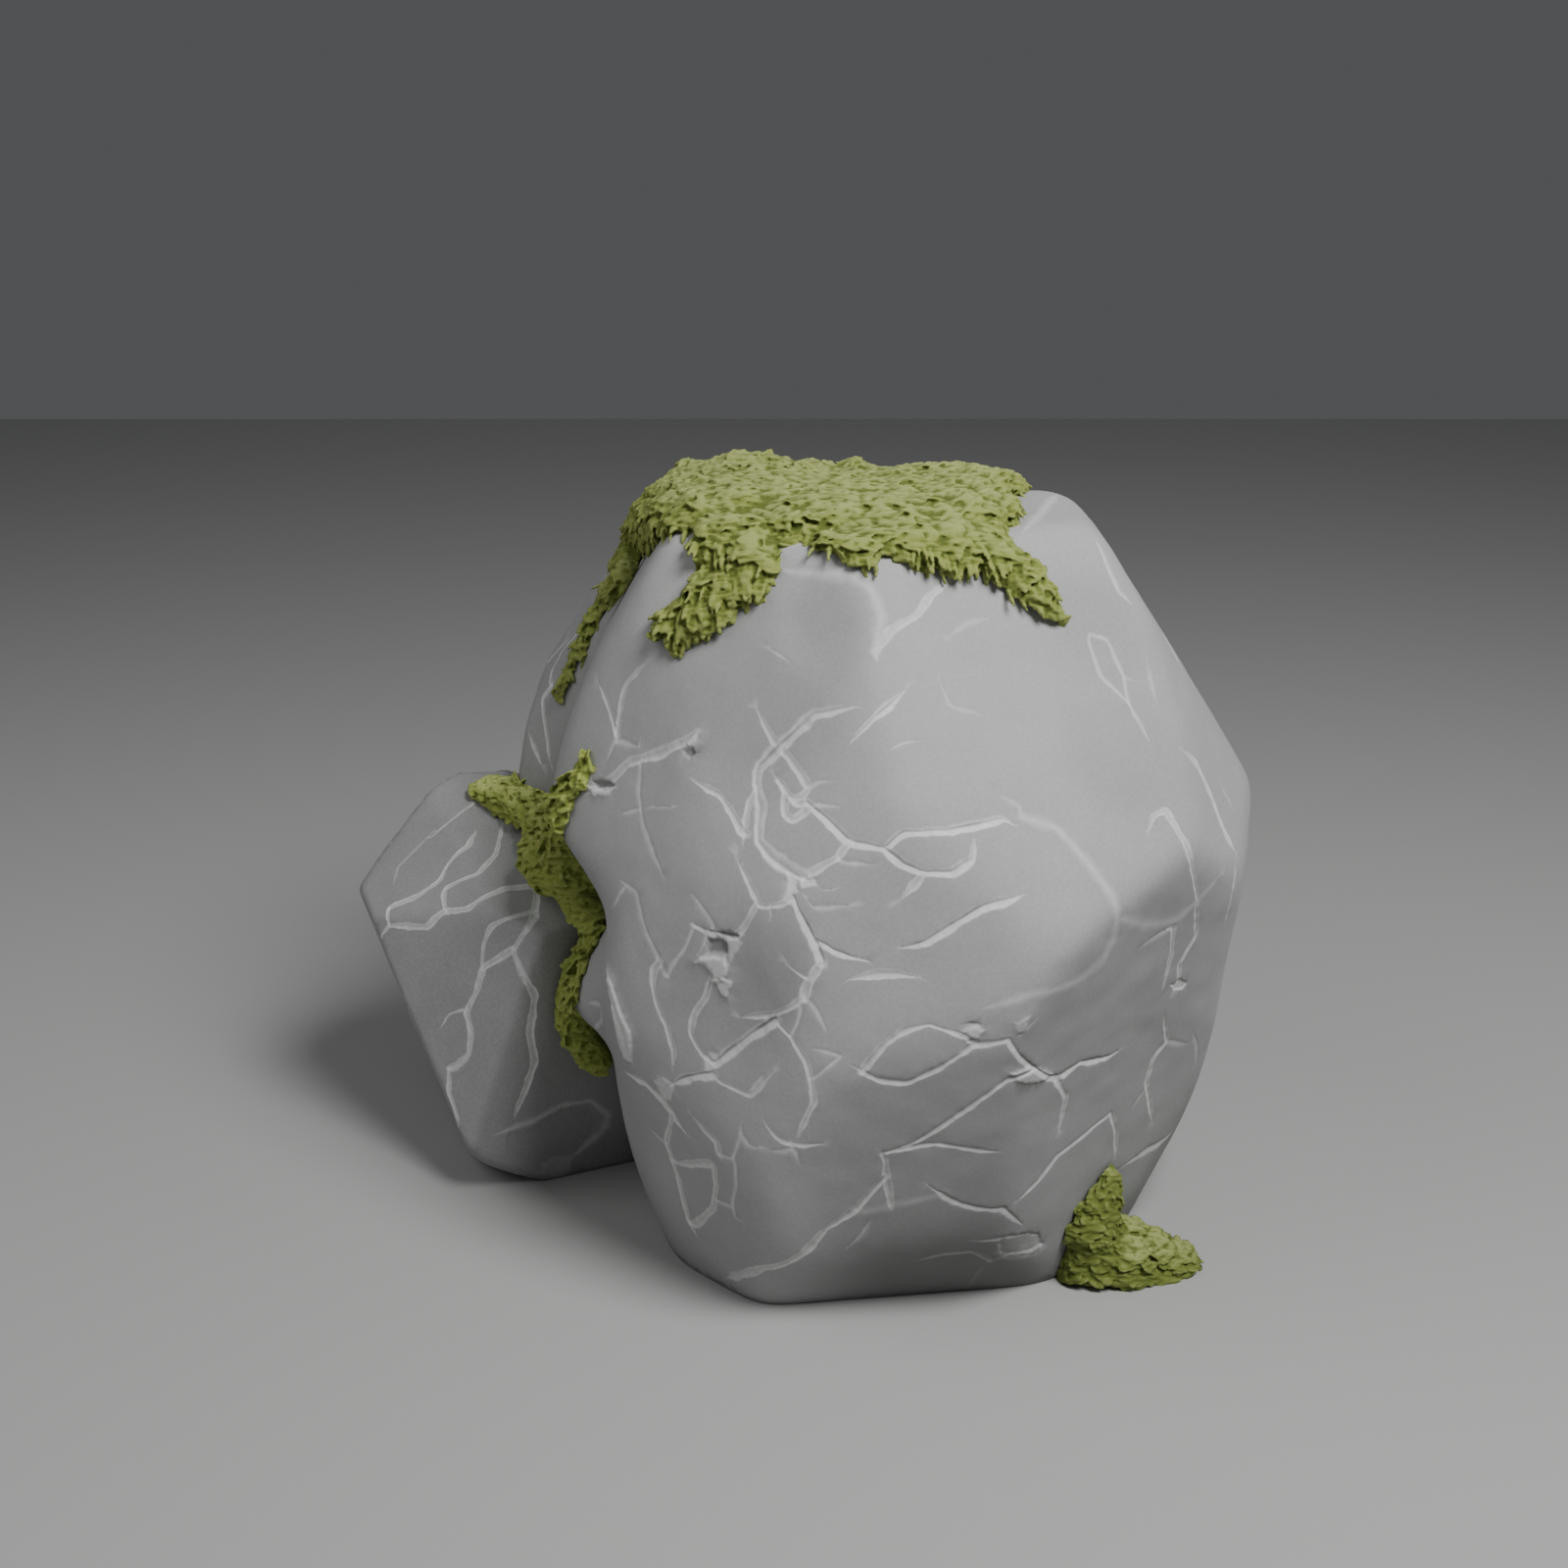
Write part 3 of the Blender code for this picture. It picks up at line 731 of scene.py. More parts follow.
# How pale the wear is across each: the lips are rubbed most, the floor least.
STEPPED_WEAR = ((-1.35, 0.0), (-0.95, 1.0), (-0.1, 0.8), (0.18, 0.35), (0.4, 0.35), (0.74, 0.9), (1.35, 0.0))
GROOVED_WEAR = ((-1.3, 0.0), (-0.9, 1.0), (-0.3, 0.55), (0.3, 0.55), (0.9, 1.0), (1.3, 0.0))
NARROW_WEAR = ((-1.25, 0.0), (0.0, 1.0), (1.25, 0.0))
# A groove's half-width in mm, and its depth as a share of it, from which it has a flat floor.
BROAD_GROOVE, DEEP_GROOVE = 2.5, 0.1


def profile_of(kind):
    """The heights across a kind of crack, and the wear across it."""
    half, deep, slit, _ = KINDS[kind]
    if slit:
        return STEPPED, STEPPED_WEAR
    if half > BROAD_GROOVE and deep > DEEP_GROOVE:
        return GROOVED, GROOVED_WEAR
    return NARROW, NARROW_WEAR


def shape_at(q, profile):
    """A profile read off at places across it, in half-widths."""
    offsets, heights = np.array(profile).T
    return np.interp(q, offsets, heights)


print("rows of points along each kind:", {kind: len(profile_of(kind)[0]) for kind in KINDS})

# %% An easy slope from nought to one
def smooth(low, high, value):
    """Nought up to low, one from high on, and an easy slope between them."""
    t = np.clip((value - low) / (high - low), 0.0, 1.0)
    return t * t * (3 - 2 * t)


print("a quarter of the way up it stands at", smooth(0.0, 1.0, 0.25))

# %% Sum the cracks and marks at each point
# Where cracks crowd together their wear runs into a web: how fast it fades across each, the sums
# where it starts and is full, and how pale it is then.
WEB_REACH, WEB_START, WEB_FULL, WEB_PALE = 1.15, 0.9, 1.35, 0.95
# How far round a crack points are looked at, in half-widths, and how many pairs are held at once.
CRACK_MARGIN, MOST_PAIRS = 2.5, 2_000_000
SCAR_REACH, SCAR_RAGGED = 50.0 * MM, 1.2 * MM


def crack_numbers(stone, points):
    """At each point of a stone's skin: how far it moves out, how pale it is, and how dark it is painted as
    shade down slits and in pits.
    """
    deep, high, wear, web, dark = np.zeros((5, len(points)))
    for crack in cracks[stone]:
        heights, wears = profile_of(crack["kind"])
        line, half = crack["line"], crack["width"]
        margin = half.max() * CRACK_MARGIN
        near = ((points > line.min(0) - margin) & (points < line.max(0) + margin)).all(1).nonzero()[0]
        for part in np.array_split(near, max(len(near) * len(line) // MOST_PAIRS, 1)):
            if not len(part):
                continue
            gap = points[part][:, None] - line[None]
            distance = np.sqrt((gap**2).sum(2))
            k = distance.argmin(1)
            rows = np.arange(len(part))
            side = np.sign((gap[rows, k] * crack["side"][k]).sum(1))
            q = side * distance[rows, k] / half[k]
            move = shape_at(q, heights) * crack["depth"][k]
            deep[part] = np.minimum(deep[part], move)
            high[part] = np.maximum(high[part], move)
            wear[part] = np.maximum(wear[part], crack["wear"][k] * shape_at(q, wears))
            web[part] += crack["wear"][k] * np.exp(-WEB_REACH * q * q)
            # The dark down a slit is painted shade.
            dark[part] = np.maximum(dark[part], crack["slit"][k] * shape_at(q, SLIT_SHADE_ACROSS))
    lift = deep + high
    pale = np.maximum(wear, WEB_PALE * smooth(WEB_START, WEB_FULL, web))
    for scar_stone, middle, axes, outline, rise, soft, pale_scar, scar_shade in scars:
        if scar_stone == stone:
            near = (np.linalg.norm(points - middle, axis=1) < SCAR_REACH).nonzero()[0]
            ragged = noise_at(points[near], 240.0, 5.0) * SCAR_RAGGED
            inside = depth_in_outline((points[near] - middle) @ axes.T, outline) + ragged
            lift[near] += rise * smooth(-0.7 * soft, 0.9 * soft, inside)
            share = smooth(-1.5 * MM, 1.6 * MM, inside)
            # A sunk scar is painted dark, as shade.
            pale[near] = np.maximum(pale[near], pale_scar * share) * (1 - scar_shade * share)
            dark[near] = np.maximum(dark[near] * (1 - pale_scar * share), scar_shade * share)
    if stone == "boulder":
        bowl = 1 - smooth(0.25, 1.0, np.linalg.norm(points - HOLLOW_MIDDLE, axis=1) / HOLLOW_RADIUS)
        lift -= HOLLOW_DEPTH * bowl
    return lift, pale * (1 - dark), dark


print("deepest in the hollow:", crack_numbers("boulder", HOLLOW_MIDDLE[None])[0].round(4), "m")

# %% [markdown]
# ## The skin of a stone, laid flat like a map
#
# A fine groove needs points exactly where its lips and its floor run, or its edge turns into a
# saw. An even grid fine enough for that would have millions of faces. So each crack brings its
# own rows of points, the smooth stone between gets a loose scatter, and one Delaunay
# triangulation joins them all. That works on a flat sheet, so the directions from the stone's
# centre are first mapped to a plane, as on a polar map whose pole is the top of the stone. This
# map, the stereographic one, keeps circles round, and the triangulation with them. Its outer
# edge is the rim where the stone meets the ground.

# %% The polar map, there and back
def to_map(directions):
    return directions[:, :2] / (1 + directions[:, 2:])


def from_map(places):
    size = (places**2).sum(1, keepdims=True)
    return np.hstack((2 * places, 1 - size)) / (1 + size)


def foot_rim(stone, count):
    """Directions to the rim where a stone's skin meets the ground."""
    azimuth = np.linspace(0, 360, count, endpoint=False)
    low, high = np.full(count, -89.0), np.zeros(count)
    for _ in range(40):
        middle = (low + high) / 2
        above = skin(stone, bearing(azimuth, middle))[:, 2] > 0
        low, high = np.where(above, low, middle), np.where(above, middle, high)
    return bearing(azimuth, high)


print("boulder's foot is", round(np.ptp(skin("boulder", foot_rim("boulder", 90))[:, 0]), 3), "m wide")

# %% Spread, thin out and clear points
def scattered(step, radius):
    """Even directions all round, on a spiral."""
    count = int(4 * math.pi * radius**2 / (0.87 * step**2))
    k = np.arange(count) + 0.5
    height = 1 - 2 * k / count
    turn = math.pi * (1 + 5**0.5) * k
    flat = np.sqrt(1 - height**2)
    return np.stack((np.cos(turn) * flat, np.sin(turn) * flat, height), 1)


def cell_ids(points, size, offset=(0, 0, 0)):
    """The number of the little cube each point is in, or of a neighbour of it."""
    cells = np.floor(points / size).astype(np.int64) + np.array(offset) + 5000
    return (cells[:, 0] * 20000 + cells[:, 1]) * 20000 + cells[:, 2]


def thinned(points, size):
    """The first point in each little cell, in the order given."""
    _, first = np.unique(cell_ids(points, size), return_index=True)
    return points[np.sort(first)]


def clear_of(points, others, size):
    """The points that have none of the others within about a cell's width."""
    taken = cell_ids(others, size)
    near = np.zeros(len(points), bool)
    for dx in (-1, 0, 1):
        for dy in (-1, 0, 1):
            for dz in (-1, 0, 1):
                near |= np.isin(cell_ids(points, size, (dx, dy, dz)), taken)
    return points[~near]


print(len(scattered(0.05, 0.3)), "loose points, 5 cm apart, cover a ball 60 cm wide")

# %% Rows along the cracks and grids in the scars
SKIRT_STEP, SKIRT_GAP = 3.0 * MM, 2.2 * MM
SCAR_STEP = 0.9 * MM


def crack_rows(stone):
    """Rows of points along the lips, bevels and floor of each crack, and a loose row outside."""
    rows, skirts = [], []
    for crack in cracks[stone]:
        for q, _ in profile_of(crack["kind"])[0]:
            rows.append(crack["line"] + crack["side"] * (q * crack["width"])[:, None])
        every = max(int(SKIRT_STEP / ROW_STEP), 1)
        for sign in (-1, 1):
            away = sign * (1.4 * crack["width"] + SKIRT_GAP)
            skirts.append((crack["line"] + crack["side"] * away[:, None])[::every])
    return rows, skirts


def scar_points(stone):
    """Points along both sides of a scar's edge and a fine grid inside it."""
    grids = []
    for scar_stone, middle, axes, outline, *_ in scars:
        if scar_stone == stone:
            low, high = outline.min(0) - 2 * MM, outline.max(0) + 2 * MM
            a, b = np.meshgrid(np.arange(low[0], high[0], SCAR_STEP), np.arange(low[1], high[1], SCAR_STEP))
            flat = np.stack((a.ravel(), b.ravel()), 1)
            flat = flat[depth_in_outline(flat, outline) > -1.5 * MM]
            grids.append(middle + flat @ axes)
    return grids


print(sum(len(row) for row in crack_rows("boulder")[0]), "points along the boulder's cracks")

# %% Gather the points of a stone
SCATTER_STEP = {"boulder": 7.2 * MM, "side_stone": 4.6 * MM, "back_stone": 6.0 * MM}
# The fine points are thinned to one in each cell, and the loose ones keep a clearing from them.
CELL, SKIRT_CLEARING, CLEARING = 0.62 * MM, 1.1 * MM, 3.4 * MM
CONTACT_STEP, CONTACT_REACH, CONTACT_RADIUS = 1.8 * MM, 5.0 * MM, 0.2
LOWEST_POINT = 2.5 * MM
LEANS_ON = {"boulder": (), "back_stone": ("boulder",), "side_stone": ("boulder", "back_stone")}


def contact_points(stone):
    """A fine scatter where a stone comes close to one it leans on, for a clean line between them."""
    if not LEANS_ON[stone]:
        return np.empty((0, 3))
    close = skin(stone, scattered(CONTACT_STEP, CONTACT_RADIUS))
    depth = np.max([depth_inside(other, close) for other in LEANS_ON[stone]], axis=0)
    return close[(depth > -CONTACT_REACH) & (depth < CONTACT_REACH)]


def stone_points(stone):
    """All the points of a stone's skin, fine where it is cracked, scarred or leant on."""
    rows, skirts = crack_rows(stone)
    fine = [onto_skin(stone, row) for row in rows + scar_points(stone)] + [contact_points(stone)]
    fine = thinned(np.vstack(fine), CELL)
    skirt = onto_skin(stone, thinned(np.vstack(skirts), SKIRT_STEP * 0.7))
    skirt = clear_of(skirt, fine, SKIRT_CLEARING)
    radius = reach(stone, scattered(0.05, 0.3)).mean()
    loose = skin(stone, scattered(SCATTER_STEP[stone], radius))
    loose = clear_of(loose, np.vstack((fine, skirt)), CLEARING)
    points = np.vstack((fine, skirt, loose))
    return points[points[:, 2] > LOWEST_POINT]


for stone in STONES:
    print(stone, "gets", len(stone_points(stone)), "points")

# %% Keep the smaller stones clear of what they lean on
# The gap that is left, the rounds of pressing, and how far out and how finely the way out is sought.
CONTACT_GAP, PRESSINGS, FARTHEST_OUT, OUTWARD_HALVINGS = 0.8 * MM, 3, 0.6, 24


def pressed_clear(points, stone):
    """Moves points that are inside another stone level outwards, until they lie against it."""
    points = points.copy()
    for _ in range(PRESSINGS):
        for other in LEANS_ON[stone]:
            centre = STONES[other][0]
            inside = depth_inside(other, points) > -CONTACT_GAP
            mine = points[inside]
            flat = mine - centre
            flat[:, 2] = 0.0
            flat = unit(flat)
            axis = np.hstack((np.tile(centre[:2], (len(mine), 1)), mine[:, 2:]))
            low, high = np.linalg.norm(mine - axis, axis=1), np.full(len(mine), FARTHEST_OUT)
            for _ in range(OUTWARD_HALVINGS):
                middle = (low + high) / 2
                deep = depth_inside(other, axis + flat * middle[:, None]) > -CONTACT_GAP
                low, high = np.where(deep, middle, low), np.where(deep, high, middle)
            points[inside] = axis + flat * high[:, None]
    return points


pressed = pressed_clear(STONES["boulder"][0][None] + 0.1, "side_stone")
print("a point in the boulder is pressed out to", pressed[0].round(3))

# %% Read and store numbers on the points of a mesh
def point_array(mesh, title="co"):
    """The points of a mesh, or their normals, as rows of three numbers."""
    values = np.empty(len(mesh.vertices) * 3, np.float32)
    source = mesh.vertices if title == "co" else mesh.vertex_normals
    source.foreach_get("co" if title == "co" else "vector", values)
    return values.reshape(-1, 3).astype(float)


def keep_on_points(mesh, layers):
    """Stores a number, or a direction, for each point of a mesh under each title."""
    for title, values in layers.items():
        flat = values.ndim == 1
        layer = mesh.attributes.new(title, "FLOAT" if flat else "FLOAT_VECTOR", "POINT")
        layer.data.foreach_set("value" if flat else "vector", values.astype(np.float32).ravel())


print("the packed boulder has", len(point_array(frame["nodes"]["boulder"].data)), "points")

# %% Roughen the faces and paint shade on them
# Swells over a broken face: how many to a metre, and how high in mm.
RELIEF = ((14.0, 1.1), (45.0, 0.45), (130.0, 0.16))
# Broad patches of painted shade on the faces: place in the camera's frame, radius in mm and strength.
SHADE_PATCHES = ((735, 690, 72, 0.26), (790, 740, 60, 0.24), (838, 655, 46, 0.18), (775, 985, 50, 0.25),
          (1120, 650, 55, 0.15), (1150, 770, 62, 0.17), (1000, 1265, 60, 0.2))
# The undersides of the overhangs are painted darker, as shade: which way each one faces.
SHADE_RIGHT_WAY, SHADE_LEFT_WAY, SHADE_LEFT_SHARE = bearing(25.0, -60.0), bearing(-72.0, -34.0), 0.35


def relief(points):
    """The gentle unevenness of a broken face, in metres, over several sizes of swell."""
    return sum(noise_at(points, per_metre, 3.0) * high * MM for per_metre, high in RELIEF)


def shade_painted(points):
    """How strongly each point is painted darker in the patches of shade, 0 to 1."""
    share = np.zeros(len(points))
    ragged = 0.16 * noise_at(points, 26.0, 12.0)
    places = first_met([stain[:2] for stain in SHADE_PATCHES])[1]
    for place, (_, _, radius, strength) in zip(places, SHADE_PATCHES):
        away = np.linalg.norm(points - place, axis=1) / (radius * MM)
        share = np.maximum(share, strength * (1 - smooth(0.45, 1.15, away + ragged)))
    return share


def painted_shade_share(points, normals):
    """How strongly each point is painted darker as shade, under the overhangs and in the patches, 0 to 1."""
    painted_shade = smooth(0.35, 1.0, normals @ SHADE_RIGHT_WAY) * smooth(-0.12, 0.0, points[:, 0])
    painted_shade = np.maximum(painted_shade, SHADE_LEFT_SHARE * smooth(0.75, 0.98, normals @ SHADE_LEFT_WAY))
    return 1 - (1 - painted_shade) * (1 - shade_painted(points))


print("the middle of the hollow is stained by", shade_painted(HOLLOW_MIDDLE[None]).round(2))

# %% Close a stone's foot
SOLE_STEP, SOLE_HALF, SOLE_ROUGH = 12.0 * MM, 0.4, 2.2 * MM


def sole(rim, step):
    """Points and faces that close a stone's foot, a little hollow and rough."""
    middle = rim.mean(0)
    line = np.arange(-SOLE_HALF, SOLE_HALF, step)
    a, b = np.meshgrid(line, line)
    grid = np.stack((a.ravel() + middle[0], b.ravel() + middle[1]), 1)
    ends = np.arange(len(rim))
    edges = list(zip(ends.tolist(), np.roll(ends, -1).tolist()))
    rim_cells = np.hstack((rim[:, :2], np.zeros((len(rim), 1))))
    grid = clear_of(np.hstack((grid, np.zeros((len(grid), 1)))), rim_cells, step * 0.6)
    places = np.vstack((rim[:, :2], grid[:, :2]))
    found = delaunay_2d_cdt([Vector(p) for p in places.tolist()], edges, [], 1, 1e-9)
    kept = np.array([tuple(v) for v in found[0]])
    rise = np.abs(noise_at(np.hstack((kept, np.zeros((len(kept), 1)))), 30.0, 9.0)) * SOLE_ROUGH
    rise[: len(rim)] = 0.0
    return np.hstack((kept, rise[:, None])), [tuple(reversed(face)) for face in found[2]]


foot = skin("boulder", foot_rim("boulder", 90))
print("the boulder's sole has", len(sole(foot, SOLE_STEP)[1]), "faces")

# %% Build a stone's mesh
RIM_STEP, RIM_RADIUS, FOOT_EASE = 5.0 * MM, 0.22, 12.0 * MM


def stone_mesh(stone):
    """The whole closed skin of a stone, with its numbers kept on the points."""
    rim_directions = foot_rim(stone, int(2 * math.pi * RIM_RADIUS / RIM_STEP))
    rim = len(rim_directions)
    directions = np.vstack((rim_directions, unit(stone_points(stone) - STONES[stone][0])))
    edges = [(i, (i + 1) % rim) for i in range(rim)]
    found = delaunay_2d_cdt([Vector(p) for p in to_map(directions).tolist()], edges, [], 1, 1e-9)
    directions = from_map(np.array([tuple(v) for v in found[0]]))
    smooth_skin = skin(stone, directions)
    lift, pale, dark = crack_numbers(stone, smooth_skin)
    moved = smooth_skin + directions * (lift + relief(smooth_skin))[:, None]
    foot_ease = smooth(0.0, FOOT_EASE, smooth_skin[:, 2])[:, None]
    moved = smooth_skin * (1 - foot_ease) + moved * foot_ease
    moved[:, 2] = np.maximum(moved[:, 2], 0.0)
    moved[:rim, 2] = 0.0
    under, under_faces = sole(moved[:rim], SOLE_STEP)
    shift = len(moved) - rim
    faces = [tuple(face) for face in found[2]]
    faces += [tuple(i if i < rim else i + shift for i in face) for face in under_faces]
    points = pressed_clear(np.vstack((moved, under[rim:])), stone)
    used = np.unique(np.concatenate(faces))
    number = np.full(len(points), -1)
    number[used] = np.arange(len(used))
    mesh = bpy.data.meshes.new(stone + "_skin")
    mesh.from_pydata(points[used].tolist(), [], [number[list(face)].tolist() for face in faces])
    # Kept on the points: the pale of worn cracks, the painted shade down slits and in pits, and the painted
    # shade under overhangs and in patches.
    bare = np.zeros(len(under) - rim)
    keep_on_points(mesh, {"pale": np.concatenate((pale, bare))[used],
                          "dark": np.concatenate((dark, bare))[used],
                          "painted_shade": painted_shade_share(points[used], point_array(mesh, "normal"))})
    mesh.shade_smooth()
    piece = bpy.data.objects.new(stone + "_skin", mesh)
    bpy.context.scene.collection.objects.link(piece)
    return piece


skins = {stone: stone_mesh(stone) for stone in STONES}
for stone, piece in skins.items():
    print(stone, len(piece.data.vertices), "points,", len(piece.data.polygons), "faces")

# %% [markdown]
# ## The moss, first its body
#
# Moss grows in soft cushions that have run together into a mat. Seen close, a mat is made of
# small flaps and fronds that lie over each other like roof shingles, all combed downhill by
# running water. The mat is made as a modeller in clay would make it: first a body, then flaps
# pressed onto it one over the other, and at last everything is melted into one skin, so that
# only creases remain between the flaps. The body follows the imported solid: a copy gets a few
# pads where the moss fills a nook, is melted into an even skin and raised into lumps. Here and
# there it is pressed in, where its edge draws back. Its underside lies on the stone and stays
# plain.

# %% Melt a shape into an even skin, and find the nearest stone
SOFTENING = 0.4


def melted(mesh, voxel, ease):
    """A new mesh: the skin of everything in the mesh, melted together and eased a few times."""
    lump = bpy.data.objects.new("melting", mesh)
    bpy.context.scene.collection.objects.link(lump)
    melt = lump.modifiers.new("melt", "REMESH")
    melt.mode = "VOXEL"
    melt.voxel_size = voxel
    soften = lump.modifiers.new("soften", "SMOOTH")
    soften.factor = SOFTENING
    soften.iterations = ease
    graph = bpy.context.evaluated_depsgraph_get()
    skin_mesh = bpy.data.meshes.new_from_object(lump.evaluated_get(graph))
    bpy.data.objects.remove(lump)
    bpy.data.meshes.remove(mesh)
    return skin_mesh


def stone_tree():
    """All the stone skins as one tree, to ask for the nearest stone."""
    points, faces = [], []
    for piece in skins.values():
        shift = len(points)
        points += [v.co.copy() for v in piece.data.vertices]
        faces += [[i + shift for i in face.vertices] for face in piece.data.polygons]
    return BVHTree.FromPolygons(points, faces)


STONE_TREE = stone_tree()
print("the nearest stone is", round(STONE_TREE.find_nearest(EYE)[3], 3), "m from the eye")

# %% Pad the mats where the moss fills a nook
# Each pad: its place in the camera's frame, its radius and its thickness in mm.
PADS = {
    "moss_cap": ((720, 572, 15, 6), (735, 578, 16, 6), (752, 580, 16, 6), (768, 574, 15, 6),
                 (740, 560, 16, 8), (760, 558, 16, 8), (722, 556, 15, 8), (712, 600, 11, 5),
                 (728, 544, 16, 10), (748, 544, 16, 10), (768, 545, 15, 10), (848, 556, 13, 8),
                 (866, 561, 13, 8), (884, 565, 13, 8), (852, 544, 14, 10), (870, 549, 14, 10),
                 (888, 553, 14, 10)),
    "seam_moss": ((600, 770, 7, 4), (597, 782, 8, 4), (592, 794, 9, 5), (583, 803, 11, 6),
                  (576, 815, 12, 7), (570, 831, 13, 7), (606, 918, 8, 5), (612, 932, 9, 6),
                  (614, 948, 9, 6), (607, 966, 9, 6), (598, 984, 9, 6), (590, 1002, 9, 6),
                  (585, 1020, 9, 6), (590, 1040, 9, 6), (599, 1057, 9, 6), (605, 1072, 8, 5)),
    "foot_moss": (),
}
BODY_VOXEL, BODY_EASE = 4.0 * MM, 3
# How far a pad stands out of the stone, as a share of its thickness.
PAD_RISE = 0.3


def body_mesh(name):
    """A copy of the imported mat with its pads, melted into one even skin."""
    bm = bmesh.new()
    bm.from_mesh(frame["nodes"][name].data)
    bmesh.ops.remove_doubles(bm, verts=bm.verts[:], dist=1e-5)
    for u, v, radius, thick in PADS[name]:
        place = first_met([(u, v)])[1][0]
        _, out, _, _ = STONE_TREE.find_nearest(place)
        turn = Vector((0, 0, 1)).rotation_difference(out).to_matrix().to_4x4()
        size = Matrix.Diagonal((radius * MM, radius * MM, thick * MM, 1.0))
        matrix = Matrix.Translation(Vector(place) + out * thick * PAD_RISE * MM) @ turn @ size
        bmesh.ops.create_icosphere(bm, subdivisions=3, radius=1.0, matrix=matrix)
    mesh = bpy.data.meshes.new("body")
    bm.to_mesh(mesh)
    bm.free()
    return melted(mesh, BODY_VOXEL, BODY_EASE)


body_meshes = {name: body_mesh(name) for name in PADS}
print("faces in each body:", {name: len(mesh.polygons) for name, mesh in body_meshes.items()})

# %% Comb the moss
# How much the lay swirls, and how strongly it runs away from the middle of the mat.
COMB_SWIRL = {"moss_cap": 0.55, "seam_moss": 0.5, "foot_moss": 0.5}
OUTWARD = {"moss_cap": 1.1, "seam_moss": 0.6, "foot_moss": 0.5}
MAT_MIDDLE = {
    "moss_cap": np.array((-0.06, 0.03, 0.60)),
    "seam_moss": np.array((-0.28, 0.05, 0.36)),
    "foot_moss": np.array((0.165, -0.11, 0.06)),
}
DOWNHILL = np.array((0.0, -0.5, -1.6))


def combed(name, points, normals):
    """The way the flaps lie at each point: downhill and a little outwards, with some swirl."""
    swirl = np.stack([noise_at(points, 20.0, 10.0 * k) for k in (1, 2, 3)], 1) * COMB_SWIRL[name]
    lay = DOWNHILL + unit(points - MAT_MIDDLE[name]) * OUTWARD[name] + swirl
    lay -= normals * (lay * normals).sum(1, keepdims=True)
    return unit(lay)


cap_middle, skyward = MAT_MIDDLE["moss_cap"][None], np.array(((0.0, 0.0, 1.0),))
print("level on the cap, the flaps lie along", combed("moss_cap", cap_middle + 0.1, skyward)[0].round(2))

# %% Press the mats in where their edge draws back
# Each dent: its place in the camera's frame, its radius there and how far it is pressed in, in mm.
DENTS = {
    "moss_cap": ((852, 456, 26, 11), (735, 452, 20, 3), (1053, 530, 15, 15), (968, 600, 12, 15),
                 (1000, 610, 14, 15), (698, 574, 12, 15), (690, 556, 11, 13), (1066, 494, 12, 6)),
    "seam_moss": ((474, 808, 12, 12), (518, 868, 13, 10), (560, 930, 14, 5)),
    "foot_moss": (),
}
# One step of the camera's frame in mm at the mats, and how deep a dent is left bare.
FRAME_MM, BARE_DENT = 0.75, 12.0


def dented(name, points):
    """How far each point is pressed in, in metres, and how bare it is left."""
    pressed, bare = np.zeros(len(points)), np.zeros(len(points))
    for u, v, radius, deep in DENTS[name]:
        away = points - EYE
        line = sight_lines([(u, v)])[0]
        off = np.linalg.norm(away - (away @ line)[:, None] * line, axis=1) / (radius * FRAME_MM * MM)
        share = 1 - smooth(0.3, 1.3, off)
        pressed = np.maximum(pressed, share * deep * MM)
        if deep > BARE_DENT:
            bare = np.maximum(bare, share)
    return pressed, smooth(0.3, 0.7, bare)


dent_place = first_met([DENTS["moss_cap"][0][:2]])[1]
print("the first dent is pressed in by", dented("moss_cap", dent_place)[0].round(4), "m")

# %% Find where a mat shows
# A point keeps this clear of the stone, and from this high it can't lie against it.
LEAST_CLEAR, HIGH_CLEAR = 0.3 * MM, 12.0 * MM


def under_stone(points, normals):
    """The nearest stone's normal, the height over it, and how openly each point shows, 0 to 1."""
    below, height, shown = np.zeros((len(points), 3)), np.zeros(len(points)), np.zeros(len(points))
    for i, (point, normal) in enumerate(zip(points, normals)):
        near, stone_normal, _, distance = STONE_TREE.find_nearest(point)
        if (Vector(point) - near).dot(stone_normal) < 0:
            points[i] = near + stone_normal * LEAST_CLEAR
            distance = LEAST_CLEAR
        below[i] = (0, 0, 1) if point[2] < distance else stone_normal
        height[i] = min(distance, point[2])
        facing = normal @ below[i] if height[i] < HIGH_CLEAR else 1.0
        shown[i] = smooth(-0.45, 0.0, facing)
    return below, height, shown


cap_body = body_meshes["moss_cap"]
cap_heights = under_stone(point_array(cap_body), point_array(cap_body, "normal"))[1]
print("the cap's body stands up to", round(cap_heights.max(), 3), "m over the stone")

# %% Raise the lumps and keep what the flaps need
LUMPS = ((24.0, 2.4), (55.0, 1.8))
# How far the body is drawn in, in mm, to leave room for the flaps.
INSET = {"moss_cap": 1.4, "seam_moss": 2.8, "foot_moss": 2.2}
# How much of the slopes is ridged, how few flaps lie there, and how high the fringe reaches.
RIDGED = {"moss_cap": 1.0, "seam_moss": 0.0, "foot_moss": 0.0}
FEWER_FLAPS, EDGE_HEIGHT = 0.85, 9.0 * MM
# How much the fringe follows the comb, and how much it sags.
FRINGE_LAY, SAG = 0.9, np.array((0.0, 0.0, -0.5))


